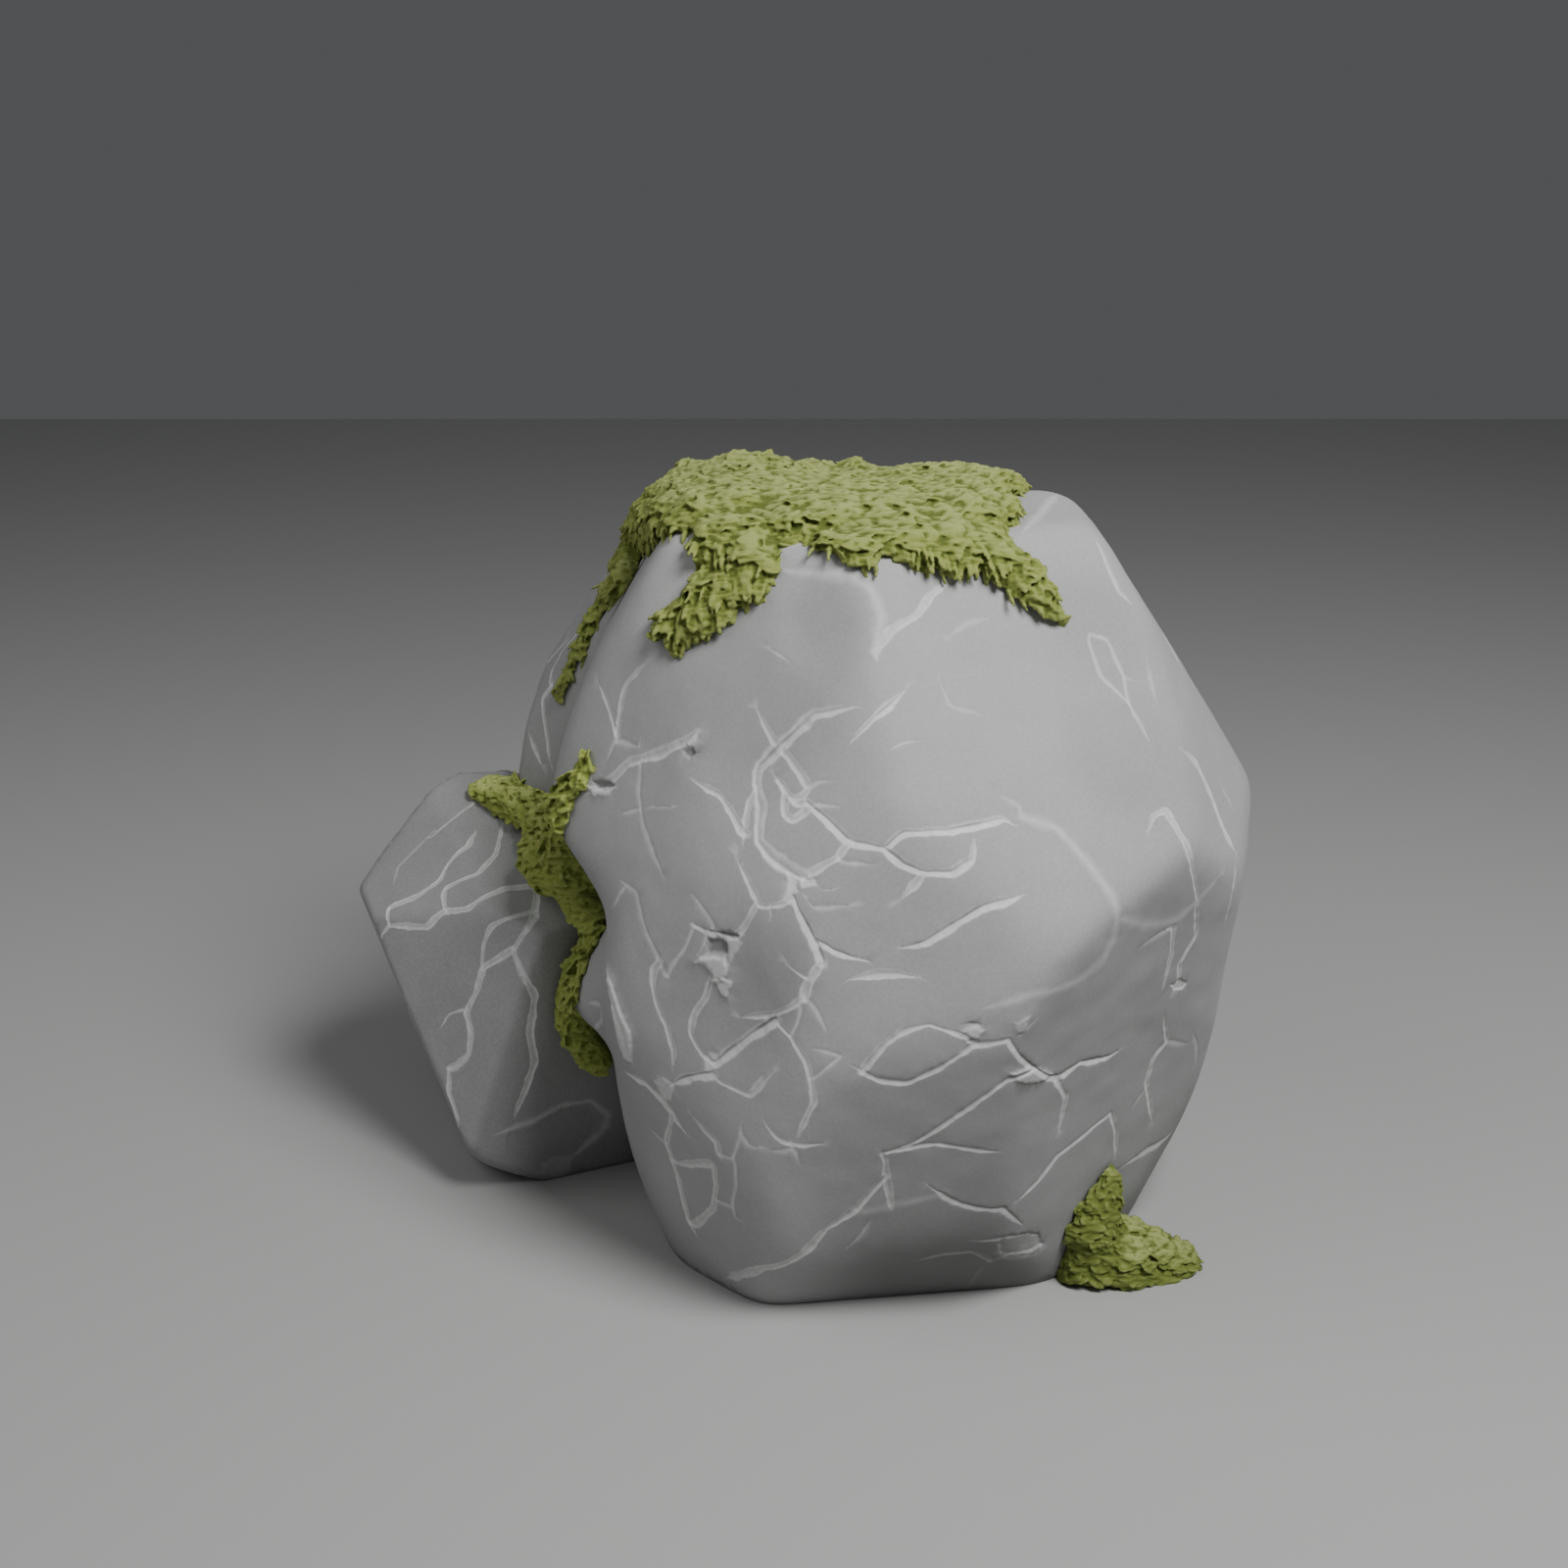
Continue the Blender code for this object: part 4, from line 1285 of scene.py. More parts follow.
def mat_body(name):
    """The body of a mat, shaped, with its covers and directions kept on the points."""
    mesh = body_meshes[name]
    points, normals = point_array(mesh), point_array(mesh, "normal")
    below, height, shown = under_stone(points, normals)
    pressed, bare = dented(name, points)
    shown *= 1 - bare
    lump = sum(noise_at(points, per_metre, 20.0) * high * MM for per_metre, high in LUMPS)
    moved = points + normals * ((lump - INSET[name] * MM) * shown - pressed)[:, None]
    mesh.vertices.foreach_set("co", moved.astype(np.float32).ravel())
    lay = combed(name, points, normals)
    slope = smooth(0.25, 0.55, 1 - np.abs(normals[:, 2])) * RIDGED[name]
    upright = smooth(-0.3, 0.2, (normals * below).sum(1))
    rim = (1 - smooth(0.4 * EDGE_HEIGHT, EDGE_HEIGHT, height)) * shown * upright
    outward = normals + lay * FRINGE_LAY + SAG
    outward -= below * (outward * below).sum(1, keepdims=True)
    keep_on_points(mesh, {"flat": shown * (1 - FEWER_FLAPS * slope), "slope": slope * shown * (1 - rim),
                          "rim": rim, "lay": lay, "outward": unit(outward), "below": below})
    mesh.update()
    body = bpy.data.objects.new(name + "_body", mesh)
    bpy.context.scene.collection.objects.link(body)
    return body


def point_share(mesh, title):
    """The average of a number kept on the points."""
    values = np.empty(len(mesh.vertices), np.float32)
    mesh.attributes[title].data.foreach_get("value", values)
    return round(float(values.mean()), 2)


mat_bodies = {name: mat_body(name) for name in MAT_MIDDLE}
for name, body in mat_bodies.items():
    print(name, "shows by", point_share(body.data, "flat"), "and has a rim of", point_share(body.data, "rim"))

# %% [markdown]
# ## The flaps
#
# Three small shapes make up the mat: a broad blunt flap, a long ridge for the slopes where the
# moss hangs like wet hair, and a pointed tip for the fringe on the bare stone. Each has a few
# dozen faces, since there are thousands of them. Each starts at a stalk inside the body, rises
# a little and rounds over at its end.

# %% Model the three shapes
STALK_DEPTH = 0.07


def flap(title, outline, thick, arch):
    """A flap along X, one unit long: rings of six points, closed by a stalk and a rounded end."""
    points, faces = [], []
    for along, half in outline:
        middle = arch * math.sin(along * math.pi * 0.75) - STALK_DEPTH
        body = thick * (1.0 if along < 0.8 else 0.7)
        for side, rise in ((-1, 0), (-0.55, 0.8), (0.55, 0.8), (1, 0), (0.5, -0.7), (-0.5, -0.7)):
            points.append((along, half * side, middle + body * rise))
    points.append((1.0, 0.0, arch * math.sin(math.pi * 0.75) - 0.03 - STALK_DEPTH))
    for ring in range(len(outline) - 1):
        for k in range(6):
            a, b = ring * 6 + k, ring * 6 + (k + 1) % 6
            faces.append((a, a + 6, b + 6, b))
    last, end = len(points) - 7, len(points) - 1
    faces += [(last + k, end, last + (k + 1) % 6) for k in range(6)]
    faces.append(tuple(range(6)))
    mesh = bpy.data.meshes.new(title)
    mesh.from_pydata(points, [], faces)
    bm = bmesh.new()
    bm.from_mesh(mesh)
    bmesh.ops.recalc_face_normals(bm, faces=bm.faces[:])
    bm.to_mesh(mesh)
    bm.free()
    return bpy.data.objects.new(title, mesh)


BROAD_FLAP = flap("broad flap", ((0.0, 0.35), (0.3, 0.72), (0.68, 0.84), (0.9, 0.56)), 0.15, 0.08)
LONG_RIDGE = flap("long ridge", ((0.0, 0.08), (0.3, 0.14), (0.68, 0.13), (0.9, 0.07)), 0.12, 0.08)
FRINGE_TIP = flap("fringe tip", ((0.0, 0.30), (0.35, 0.30), (0.68, 0.18), (0.88, 0.09)), 0.20, 0.06)
print("faces in a flap:", len(BROAD_FLAP.data.polygons))

# %% [markdown]
# ## Scattering the flaps
#
# Nobody could set thousands of flaps by hand. Geometry Nodes scatter points over the body, no
# two closer than a given spacing, lay a flap on each and turn it to lie along the comb. A
# random turn, tilt and size then break the order. The seed is fixed, so the mat grows the same
# way each time.

# %% Helpers for node trees
def add_node(tree, kind, **settings):
    node = tree.nodes.new(kind)
    for key, value in settings.items():
        setattr(node, key, value)
    return node


def join(tree, output, *inputs):
    for socket in inputs:
        tree.links.new(output, socket)


def attribute_of(tree, title, kind="FLOAT"):
    node = add_node(tree, "GeometryNodeInputNamedAttribute", data_type=kind)
    node.inputs["Name"].default_value = title
    return node.outputs["Attribute"]


def random_vector(tree, low, high, seed):
    node = add_node(tree, "FunctionNodeRandomValue", data_type="FLOAT_VECTOR")
    node.inputs[0].default_value, node.inputs[1].default_value = low, high
    node.inputs["Seed"].default_value = seed
    return node.outputs[0]


trial = bpy.data.node_groups.new("trial", "GeometryNodeTree")
print("a random vector comes out of", random_vector(trial, (0, 0, 0), (1, 1, 1), 1).name)
bpy.data.node_groups.remove(trial)

# %% Say what can be set, and what each layer does
FLAP_INPUTS = (
    ("Flap spacing", "NodeSocketFloat", 5.0 * MM),
    ("Flap length", "NodeSocketFloat", 12.0 * MM),
    ("Flap tilt", "NodeSocketFloat", 0.2),
    ("Ridge spacing", "NodeSocketFloat", 5.0 * MM),
    ("Ridge length", "NodeSocketFloat", 20.0 * MM),
    ("Fringe spacing", "NodeSocketFloat", 4.0 * MM),
    ("Fringe length", "NodeSocketFloat", 12.0 * MM),
    ("Seed", "NodeSocketInt", 1),
    ("Moss", "NodeSocketMaterial", None),
)
# For each layer: where it grows, the way it lies, its up, its shape, its share of the tilt and its swing.
LAYERS = {
    "Flap": ("flat", "lay", None, BROAD_FLAP, 1.0, 0.45),
    "Ridge": ("slope", "lay", None, LONG_RIDGE, 0.5, 0.16),
    "Fringe": ("rim", "outward", "below", FRINGE_TIP, 0.0, 0.5),
}
print("layers:", {layer: "on " + grows[0] for layer, grows in LAYERS.items()})

# %% Build one layer of flaps
# Points to a square metre before they are spaced, the seeds of turn and size, and their ranges.
DENSEST = 120000.0
TURN_SEED, SIZE_SEED = 11, 23
ROLL, PITCH = 0.25, 0.14
SMALLEST, LARGEST = (0.7, 0.6, 0.85), (1.3, 1.4, 1.15)


def scatter(tree, start, layer, number):
    """One layer of flaps over the body."""
    cover, way, up, shape_object, tilt, swing = LAYERS[layer]
    points = add_node(tree, "GeometryNodeDistributePointsOnFaces", distribute_method="POISSON")
    join(tree, start["Body"], points.inputs["Mesh"])
    join(tree, start[layer + " spacing"], points.inputs["Distance Min"])
    points.inputs["Density Max"].default_value = DENSEST
    join(tree, attribute_of(tree, cover), points.inputs["Density Factor"])
    seed = add_node(tree, "ShaderNodeMath", operation="ADD")
    join(tree, start["Seed"], seed.inputs[0])
    seed.inputs[1].default_value = number
    join(tree, seed.outputs[0], points.inputs["Seed"])
    turned = add_node(tree, "FunctionNodeAlignRotationToVector", axis="X", pivot_axis="AUTO" if up else "Z")
    if not up:
        join(tree, points.outputs["Rotation"], turned.inputs["Rotation"])
    join(tree, attribute_of(tree, way, "FLOAT_VECTOR"), turned.inputs["Vector"])
    turn = turned.outputs["Rotation"]
    if up:
        upright = add_node(tree, "FunctionNodeAlignRotationToVector", axis="Z", pivot_axis="X")
        join(tree, turn, upright.inputs["Rotation"])
        join(tree, attribute_of(tree, up, "FLOAT_VECTOR"), upright.inputs["Vector"])
        turn = upright.outputs["Rotation"]
    swung = add_node(tree, "FunctionNodeRotateRotation", rotation_space="LOCAL")
    join(tree, turn, swung.inputs["Rotation"])
    tilted = add_node(tree, "ShaderNodeCombineXYZ")
    raised = add_node(tree, "ShaderNodeMath", operation="MULTIPLY")
    join(tree, start["Flap tilt"], raised.inputs[0])
    raised.inputs[1].default_value = -tilt
    join(tree, raised.outputs[0], tilted.inputs["Y"])
    summed = add_node(tree, "ShaderNodeVectorMath", operation="ADD")
    turns = random_vector(tree, (-ROLL, -PITCH, -swing), (ROLL, PITCH, swing), TURN_SEED + number)
    join(tree, turns, summed.inputs[0])
    join(tree, tilted.outputs[0], summed.inputs[1])
    join(tree, summed.outputs[0], swung.inputs["Rotate By"])
    scaled = add_node(tree, "ShaderNodeVectorMath", operation="SCALE")
    join(tree, random_vector(tree, SMALLEST, LARGEST, SIZE_SEED + number), scaled.inputs[0])
    join(tree, start[layer + " length"], scaled.inputs["Scale"])
    shape = add_node(tree, "GeometryNodeObjectInfo")
    shape.inputs["Object"].default_value = shape_object
    placed = add_node(tree, "GeometryNodeInstanceOnPoints")
    join(tree, points.outputs["Points"], placed.inputs["Points"])
    join(tree, shape.outputs["Geometry"], placed.inputs["Instance"])
    join(tree, swung.outputs["Rotation"], placed.inputs["Rotation"])
    join(tree, scaled.outputs[0], placed.inputs["Scale"])
    return placed.outputs["Instances"]


print("a flap's length, width and height vary from", SMALLEST, "to", LARGEST)

# %% Build the scattering tree
def flap_tree():
    """The whole tree: the body and its three layers, made real and painted."""
    tree = bpy.data.node_groups.new("lay flaps", "GeometryNodeTree")
    tree.interface.new_socket("Body", in_out="INPUT", socket_type="NodeSocketGeometry")
    for title, kind, value in FLAP_INPUTS:
        socket = tree.interface.new_socket(title, in_out="INPUT", socket_type=kind)
        if value is not None:
            socket.default_value = value
    tree.interface.new_socket("Mat", in_out="OUTPUT", socket_type="NodeSocketGeometry")
    start = add_node(tree, "NodeGroupInput").outputs
    every = add_node(tree, "GeometryNodeJoinGeometry")
    join(tree, start["Body"], every.inputs[0])
    for number, layer in enumerate(LAYERS):
        join(tree, scatter(tree, start, layer, number), every.inputs[0])
    real = add_node(tree, "GeometryNodeRealizeInstances")
    painted = add_node(tree, "GeometryNodeSetMaterial")
    join(tree, every.outputs[0], real.inputs[0])
    join(tree, real.outputs[0], painted.inputs["Geometry"])
    join(tree, start["Moss"], painted.inputs["Material"])
    join(tree, painted.outputs[0], add_node(tree, "NodeGroupOutput").inputs["Mat"])
    return tree


LAY_FLAPS = flap_tree()
print("the tree has", len(LAY_FLAPS.nodes), "nodes")

# %% [markdown]
# ## Finishes
#
# Stone and moss are both matt, and both live on small changes of tone. The effects they share
# are built once, as node groups: grain gives a patchy tone and a fine bump at any scale, and
# worn cracks turns the numbers kept with each stone's mesh into masks. Each finish then sets
# its own colours and strengths.

# %% Helpers for shader groups
def new_group(title, inputs, outputs):
    group = bpy.data.node_groups.new(title, "ShaderNodeTree")
    for name, kind, value in inputs:
        socket = group.interface.new_socket(name, in_out="INPUT", socket_type=kind)
        socket.default_value = value
    for name, kind in outputs:
        group.interface.new_socket(name, in_out="OUTPUT", socket_type=kind)
    return group, add_node(group, "NodeGroupInput").outputs, add_node(group, "NodeGroupOutput").inputs


def noise_node(tree, place, scale, detail, rough=0.55):
    node = add_node(tree, "ShaderNodeTexNoise")
    join(tree, place, node.inputs["Vector"])
    if isinstance(scale, (int, float)):
        node.inputs["Scale"].default_value = scale
    else:
        join(tree, scale, node.inputs["Scale"])
    node.inputs["Detail"].default_value = detail
    node.inputs["Roughness"].default_value = rough
    return node.outputs["Fac"]


trial = new_group("trial", (), (("Result", "NodeSocketFloat"),))[0]
print("a group starts with", [node.name for node in trial.nodes])

# %% Helpers for sums, ranges and mixes
def calc(tree, operation, *values):
    node = add_node(tree, "ShaderNodeMath", operation=operation)
    for socket, value in zip(node.inputs, values):
        if isinstance(value, (int, float)):
            socket.default_value = value
        else:
            join(tree, value, socket)
    return node.outputs[0]


def stretch(tree, value, low, high, to_low=0.0, to_high=1.0):
    node = add_node(tree, "ShaderNodeMapRange", interpolation_type="SMOOTHSTEP")
    join(tree, value, node.inputs["Value"])
    for title, number in (("From Min", low), ("From Max", high), ("To Min", to_low), ("To Max", to_high)):
        node.inputs[title].default_value = number
    return node.outputs["Result"]


def mix(tree, share, first, second):
    node = add_node(tree, "ShaderNodeMix", data_type="RGBA")
    for socket, value in ((node.inputs[0], share), (node.inputs[6], first), (node.inputs[7], second)):
        if isinstance(value, tuple):
            socket.default_value = (*value, 1.0)
        elif isinstance(value, float):
            socket.default_value = value
        else:
            join(tree, value, socket)
    return node.outputs[2]


def group_in(tree, group, **values):
    node = add_node(tree, "ShaderNodeGroup", node_tree=group)
    for title, value in values.items():
        node.inputs[title.replace("_", " ")].default_value = value
    return node


def point_value(tree, title):
    return add_node(tree, "ShaderNodeAttribute", attribute_name=title).outputs["Fac"]


print("a sum of two comes out of", calc(trial, "ADD", 1.0, 2.0).name)
bpy.data.node_groups.remove(trial)

# %% Build the groups for the stone
BROAD_GRAIN, WORN_GRAIN = 70.0, 170.0


def grain_group():
    """Broad patches, fine speckle and a bump height, from the object's own coordinates."""
    tree, start, end = new_group(
        "grain",
        (("Patch Scale", "NodeSocketFloat", 9.0), ("Speckle Scale", "NodeSocketFloat", 300.0)),
        (("Patches", "NodeSocketFloat"), ("Speckle", "NodeSocketFloat"), ("Height", "NodeSocketFloat")),
    )
    place = add_node(tree, "ShaderNodeTexCoord").outputs["Object"]
    patches = noise_node(tree, place, start["Patch Scale"], 5.0)
    speckle = noise_node(tree, place, start["Speckle Scale"], 3.0, 0.7)
    join(tree, stretch(tree, patches, 0.3, 0.7), end["Patches"])
    join(tree, stretch(tree, speckle, 0.3, 0.7), end["Speckle"])
    broad = noise_node(tree, place, BROAD_GRAIN, 4.0)
    height = calc(tree, "ADD", calc(tree, "MULTIPLY", broad, 0.6), calc(tree, "MULTIPLY", speckle, 0.4))
    join(tree, height, end["Height"])
    return tree


def worn_cracks_group():
    """Masks for the pale worn lips of the cracks and for the shade painted down the slits and in the pits."""
    tree, start, end = new_group(
        "worn cracks",
        (("Paleness", "NodeSocketFloat", 1.0), ("Darkness", "NodeSocketFloat", 1.0)),
        (("Pale", "NodeSocketFloat"), ("Shade", "NodeSocketFloat")),
    )
    place = add_node(tree, "ShaderNodeTexCoord").outputs["Object"]
    rub = stretch(tree, noise_node(tree, place, WORN_GRAIN, 6.0, 0.7), 0.3, 0.62, 0.6, 1.0)
    pale = calc(tree, "MULTIPLY", calc(tree, "MULTIPLY", point_value(tree, "pale"), rub), start["Paleness"])
    join(tree, pale, end["Pale"])
    join(tree, calc(tree, "MULTIPLY", point_value(tree, "dark"), start["Darkness"]), end["Shade"])
    return tree


GRAIN = grain_group()
WORN_CRACKS = worn_cracks_group()
print("shared groups:", GRAIN.name, "with", len(GRAIN.nodes), "nodes,", WORN_CRACKS.name)

# %% Build the group for the moss
MOSS_GRAIN, PATCHINESS = 420.0, 0.18


def moss_tone_group():
    """Masks for the painted shade in creases, the painted highlight on tips and the light painted where the
    moss faces the sky, with patches and fine grain; and a height.
    """
    tree, start, end = new_group(
        "moss tone",
        (("Patch Scale", "NodeSocketFloat", 14.0),),
        (("Crease Shade", "NodeSocketFloat"), ("Tip Highlight", "NodeSocketFloat"), ("Sky Light", "NodeSocketFloat"),
         ("Height", "NodeSocketFloat")),
    )
    place = add_node(tree, "ShaderNodeTexCoord").outputs["Object"]
    fine = noise_node(tree, place, MOSS_GRAIN, 3.0, 0.65)
    crease = calc(tree, "MULTIPLY", point_value(tree, "crease"), stretch(tree, fine, 0.2, 0.6, 0.7, 1.0))
    join(tree, crease, end["Crease Shade"])
    join(tree, point_value(tree, "tip"), end["Tip Highlight"])
    broad = noise_node(tree, place, start["Patch Scale"], 4.0)
    patches = stretch(tree, broad, 0.3, 0.7, -PATCHINESS, PATCHINESS)
    join(tree, calc(tree, "ADD", point_value(tree, "open_sky"), patches), end["Sky Light"])
    join(tree, fine, end["Height"])
    return tree


MOSS_TONE = moss_tone_group()
print("and", MOSS_TONE.name, "with", len(MOSS_TONE.nodes), "nodes")

# %% [markdown]
# ## The grey of the stone
#
# The stone is a fine, dull grey with hardly any grain. What shows is weather: broad patches a
# little lighter or darker and lips of cracks rubbed pale. Shade is painted in as well: dark down
# the slits and in the pits, darker on some faces and under the overhangs.

# %% Mix the stone finishes
WORN_STONE = (0.72, 0.735, 0.715)
# The grey painted down the slits and in the pits, as shade.
SLIT_SHADE = (0.075, 0.078, 0.075)
# The grey painted under the overhangs and in patches, as shade.
SHADE_GREY = (0.10, 0.102, 0.098)
STONE_SPECKLE, SPECKLE_SHARE = 380.0, 0.10
STONE_BUMP, STONE_BUMP_HEIGHT = 0.35, 0.6 * MM


def stone_finish(title, light, dark, patch_scale, shade_strength):
    """A stone's material: its two greys, the size of its patches and how strongly the painted shade on
    undersides and patches darkens it.
    """
    finish = bpy.data.materials.new(title)
    finish.use_nodes = True
    tree = finish.node_tree
    shader = tree.nodes["Principled BSDF"]
    grain = group_in(tree, GRAIN, Patch_Scale=patch_scale, Speckle_Scale=STONE_SPECKLE)
    worn = group_in(tree, WORN_CRACKS, Paleness=1.0, Darkness=1.0)
    body = mix(tree, grain.outputs["Patches"], dark, light)
    speckled = mix(tree, calc(tree, "MULTIPLY", grain.outputs["Speckle"], SPECKLE_SHARE), body, WORN_STONE)
    rubbed = mix(tree, worn.outputs["Pale"], speckled, WORN_STONE)
    # Slits and sunk scars are painted dark, as shade.
    slit_shaded = mix(tree, worn.outputs["Shade"], rubbed, SLIT_SHADE)
    # Undersides and patches are painted darker, as shade.
    painted_shade = calc(tree, "MULTIPLY", point_value(tree, "painted_shade"), shade_strength)
    join(tree, mix(tree, painted_shade, slit_shaded, SHADE_GREY), shader.inputs["Base Color"])
    rough = stretch(tree, grain.outputs["Patches"], 0.0, 1.0, 0.78, 0.9)
    join(tree, rough, shader.inputs["Roughness"])
    shader.inputs["Specular IOR Level"].default_value = 0.3
    bump = add_node(tree, "ShaderNodeBump")
    bump.inputs["Strength"].default_value = STONE_BUMP
    bump.inputs["Distance"].default_value = STONE_BUMP_HEIGHT
    join(tree, grain.outputs["Height"], bump.inputs["Height"])
    join(tree, bump.outputs["Normal"], shader.inputs["Normal"])
    return finish


# For each stone: its light and dark grey, the size of its patches, and how strongly painted shade darkens its
# undersides and patches.
STONE_FINISHES = {
    "boulder": stone_finish("boulder_grey", (0.37, 0.375, 0.37), (0.325, 0.33, 0.325), 7.0, 0.85),
    "side_stone": stone_finish("side_stone_grey", (0.285, 0.29, 0.285), (0.245, 0.25, 0.245), 11.0, 0.0),
    "back_stone": stone_finish("back_stone_grey", (0.33, 0.335, 0.33), (0.285, 0.29, 0.285), 9.0, 0.0),
}
for stone, piece in skins.items():
    piece.data.materials.append(STONE_FINISHES[stone])
print("stone finishes:", [finish.name for finish in STONE_FINISHES.values()])

# %% [markdown]
# ## The green of the moss
#
# Moss is a deep green on its flanks. Light is painted into its colour as well: it runs to a
# pale yellow green where the moss faces up to the sky, a painted highlight makes it a little
# paler at the tip of each flap, and painted shade makes it darkest where two flaps meet.

# %% Mix the moss finishes
# The green painted into the creases as shade, the paler green painted on the tips as a highlight, and its
# share.
CREASE_SHADE_GREEN, TIP_HIGHLIGHT_GREEN = (0.09, 0.115, 0.02), (0.37, 0.41, 0.15)
TIP_HIGHLIGHT_SHARE = 0.35
MOSS_BUMP, MOSS_BUMP_HEIGHT = 0.4, 0.8 * MM


def moss_finish(title, deep, fresh, top_lit_green, patch_scale):
    """A moss's material: its own green on the flanks, a lighter green painted where it faces up, and painted
    shade in its creases.
    """
    finish = bpy.data.materials.new(title)
    finish.use_nodes = True
    tree = finish.node_tree
    shader = tree.nodes["Principled BSDF"]
    tone = group_in(tree, MOSS_TONE, Patch_Scale=patch_scale)
    # Painted light: lighter where the moss faces up, paler on the tips, darker in the creases.
    sky_lit = mix(tree, stretch(tree, tone.outputs["Sky Light"], 0.0, 1.0), fresh, top_lit_green)
    tip_lit = mix(tree, calc(tree, "MULTIPLY", tone.outputs["Tip Highlight"], TIP_HIGHLIGHT_SHARE), sky_lit, TIP_HIGHLIGHT_GREEN)
    join(tree, mix(tree, tone.outputs["Crease Shade"], tip_lit, deep), shader.inputs["Base Color"])
    join(tree, stretch(tree, tone.outputs["Height"], 0.2, 0.8, 0.8, 0.95), shader.inputs["Roughness"])
    shader.inputs["Specular IOR Level"].default_value = 0.2
    bump = add_node(tree, "ShaderNodeBump")
    bump.inputs["Strength"].default_value = MOSS_BUMP
    bump.inputs["Distance"].default_value = MOSS_BUMP_HEIGHT
    join(tree, tone.outputs["Height"], bump.inputs["Height"])
    join(tree, bump.outputs["Normal"], shader.inputs["Normal"])
    return finish


# The seam moss's greens, its crease shade among them, are set lighter than the others' as painted light,
# since its cushion lies in the boulder's shadow.
MOSS_FINISHES = {
    "moss_cap": moss_finish("cap_moss", CREASE_SHADE_GREEN, (0.205, 0.24, 0.052), (0.262, 0.302, 0.10), 14.0),
    "seam_moss": moss_finish("seam_moss", (0.17, 0.205, 0.04), (0.27, 0.32, 0.07), (0.50, 0.56, 0.18), 22.0),
    "foot_moss": moss_finish("foot_moss", CREASE_SHADE_GREEN, (0.14, 0.17, 0.035), (0.295, 0.335, 0.115), 18.0),
}
print("moss finishes:", [finish.name for finish in MOSS_FINISHES.values()])

# %% [markdown]
# ## Every flap in its place, and one skin over all
#
# The tree lays the flaps on each body, and everything is melted into one skin. Thin level
# creases are pressed into it, as between layers of growth. The skin is thinned where it is
# flattest. Last, each point is told how deep in a crease it lies, how near a tip, and how openly
# it faces the sky, for the painted shade in the creases, the painted highlight on the tips and
# the light painted onto the moss that faces up.

# %% Say how big the flaps are
# Spacing, length and tilt of the flaps, spacing and length of ridges and fringe, and the seed.
FLAP_SIZES = {
    "moss_cap": (3.6 * MM, 8.5 * MM, 0.22, 4.0 * MM, 16.0 * MM, 3.4 * MM, 4.2 * MM, 3),
    "seam_moss": (3.8 * MM, 9.0 * MM, 0.3, 7.0 * MM, 12.0 * MM, 3.2 * MM, 10.5 * MM, 5),
    "foot_moss": (4.4 * MM, 9.5 * MM, 0.22, 7.0 * MM, 14.0 * MM, 3.2 * MM, 6.5 * MM, 8),
}
print("flap spacing on each mat:", {name: sizes[0] for name, sizes in FLAP_SIZES.items()})

# %% Level ledges and creases
# Fine ledges across the slope: how many per metre along and across them, and how high.
LEDGES = {"moss_cap": (75.0, 250.0, 0.75), "seam_moss": (90.0, 260.0, 0.6), "foot_moss": (80.0, 230.0, 0.8)}
DOWN_FRONT = unit(np.array((0.0, 0.5, 0.87)))
CREASE_WIDTH, LEDGE_SINK = 0.35, 0.7


def ledge_heights(name, points):
    """Thin wavy creases that run level round the mat, with low rounded ledges between them."""
    along, across, high = LEDGES[name]
    level = points @ DOWN_FRONT
    other = points @ np.cross(DOWN_FRONT, (1.0, 0.0, 0.0))
    places = np.stack((points[:, 0] * along, other * along, level * across), 1)
    return high * MM * (smooth(0.0, CREASE_WIDTH, np.abs(noise_at(places, 1.0, 4.0))) - LEDGE_SINK)


print("ledge at the middle of the cap:", ledge_heights("moss_cap", cap_middle).round(5), "m")

# %% Ease numbers over a mesh, and thin a mesh out
EASE_ROUNDS = 12


def eased_over(mesh, values):
    """Rows of numbers on the points, each averaged with its neighbours' again and again."""
    pairs = np.empty(len(mesh.edges) * 2, np.int32)
    mesh.edges.foreach_get("vertices", pairs)
    ends = np.concatenate((pairs[::2], pairs[1::2]))
    others = np.concatenate((pairs[1::2], pairs[::2]))
    count = np.maximum(np.bincount(ends, minlength=len(values)), 1)
    for _ in range(EASE_ROUNDS):
        sums = [np.bincount(ends, values[others, k], len(values)) for k in range(3)]
        values = np.stack(sums, 1) / count[:, None]
    return values


def thinned_out(mesh, most):
    """The mesh with its flattest faces joined, until it has no more triangles than allowed."""
    count = sum(len(face.vertices) - 2 for face in mesh.polygons)
    if count <= most:
        return mesh
    piece = bpy.data.objects.new("thinning", mesh)
    bpy.context.scene.collection.objects.link(piece)
    piece.modifiers.new("thin", "DECIMATE").ratio = most / count
    graph = bpy.context.evaluated_depsgraph_get()
    thin = bpy.data.meshes.new_from_object(piece.evaluated_get(graph))
    bpy.data.objects.remove(piece)
    bpy.data.meshes.remove(mesh)
    return thin


side_skin = skins["side_stone"].data
eased = eased_over(side_skin, point_array(side_skin, "normal"))
print("the side stone's normals, eased, are", np.linalg.norm(eased, axis=1).mean().round(3), "long")

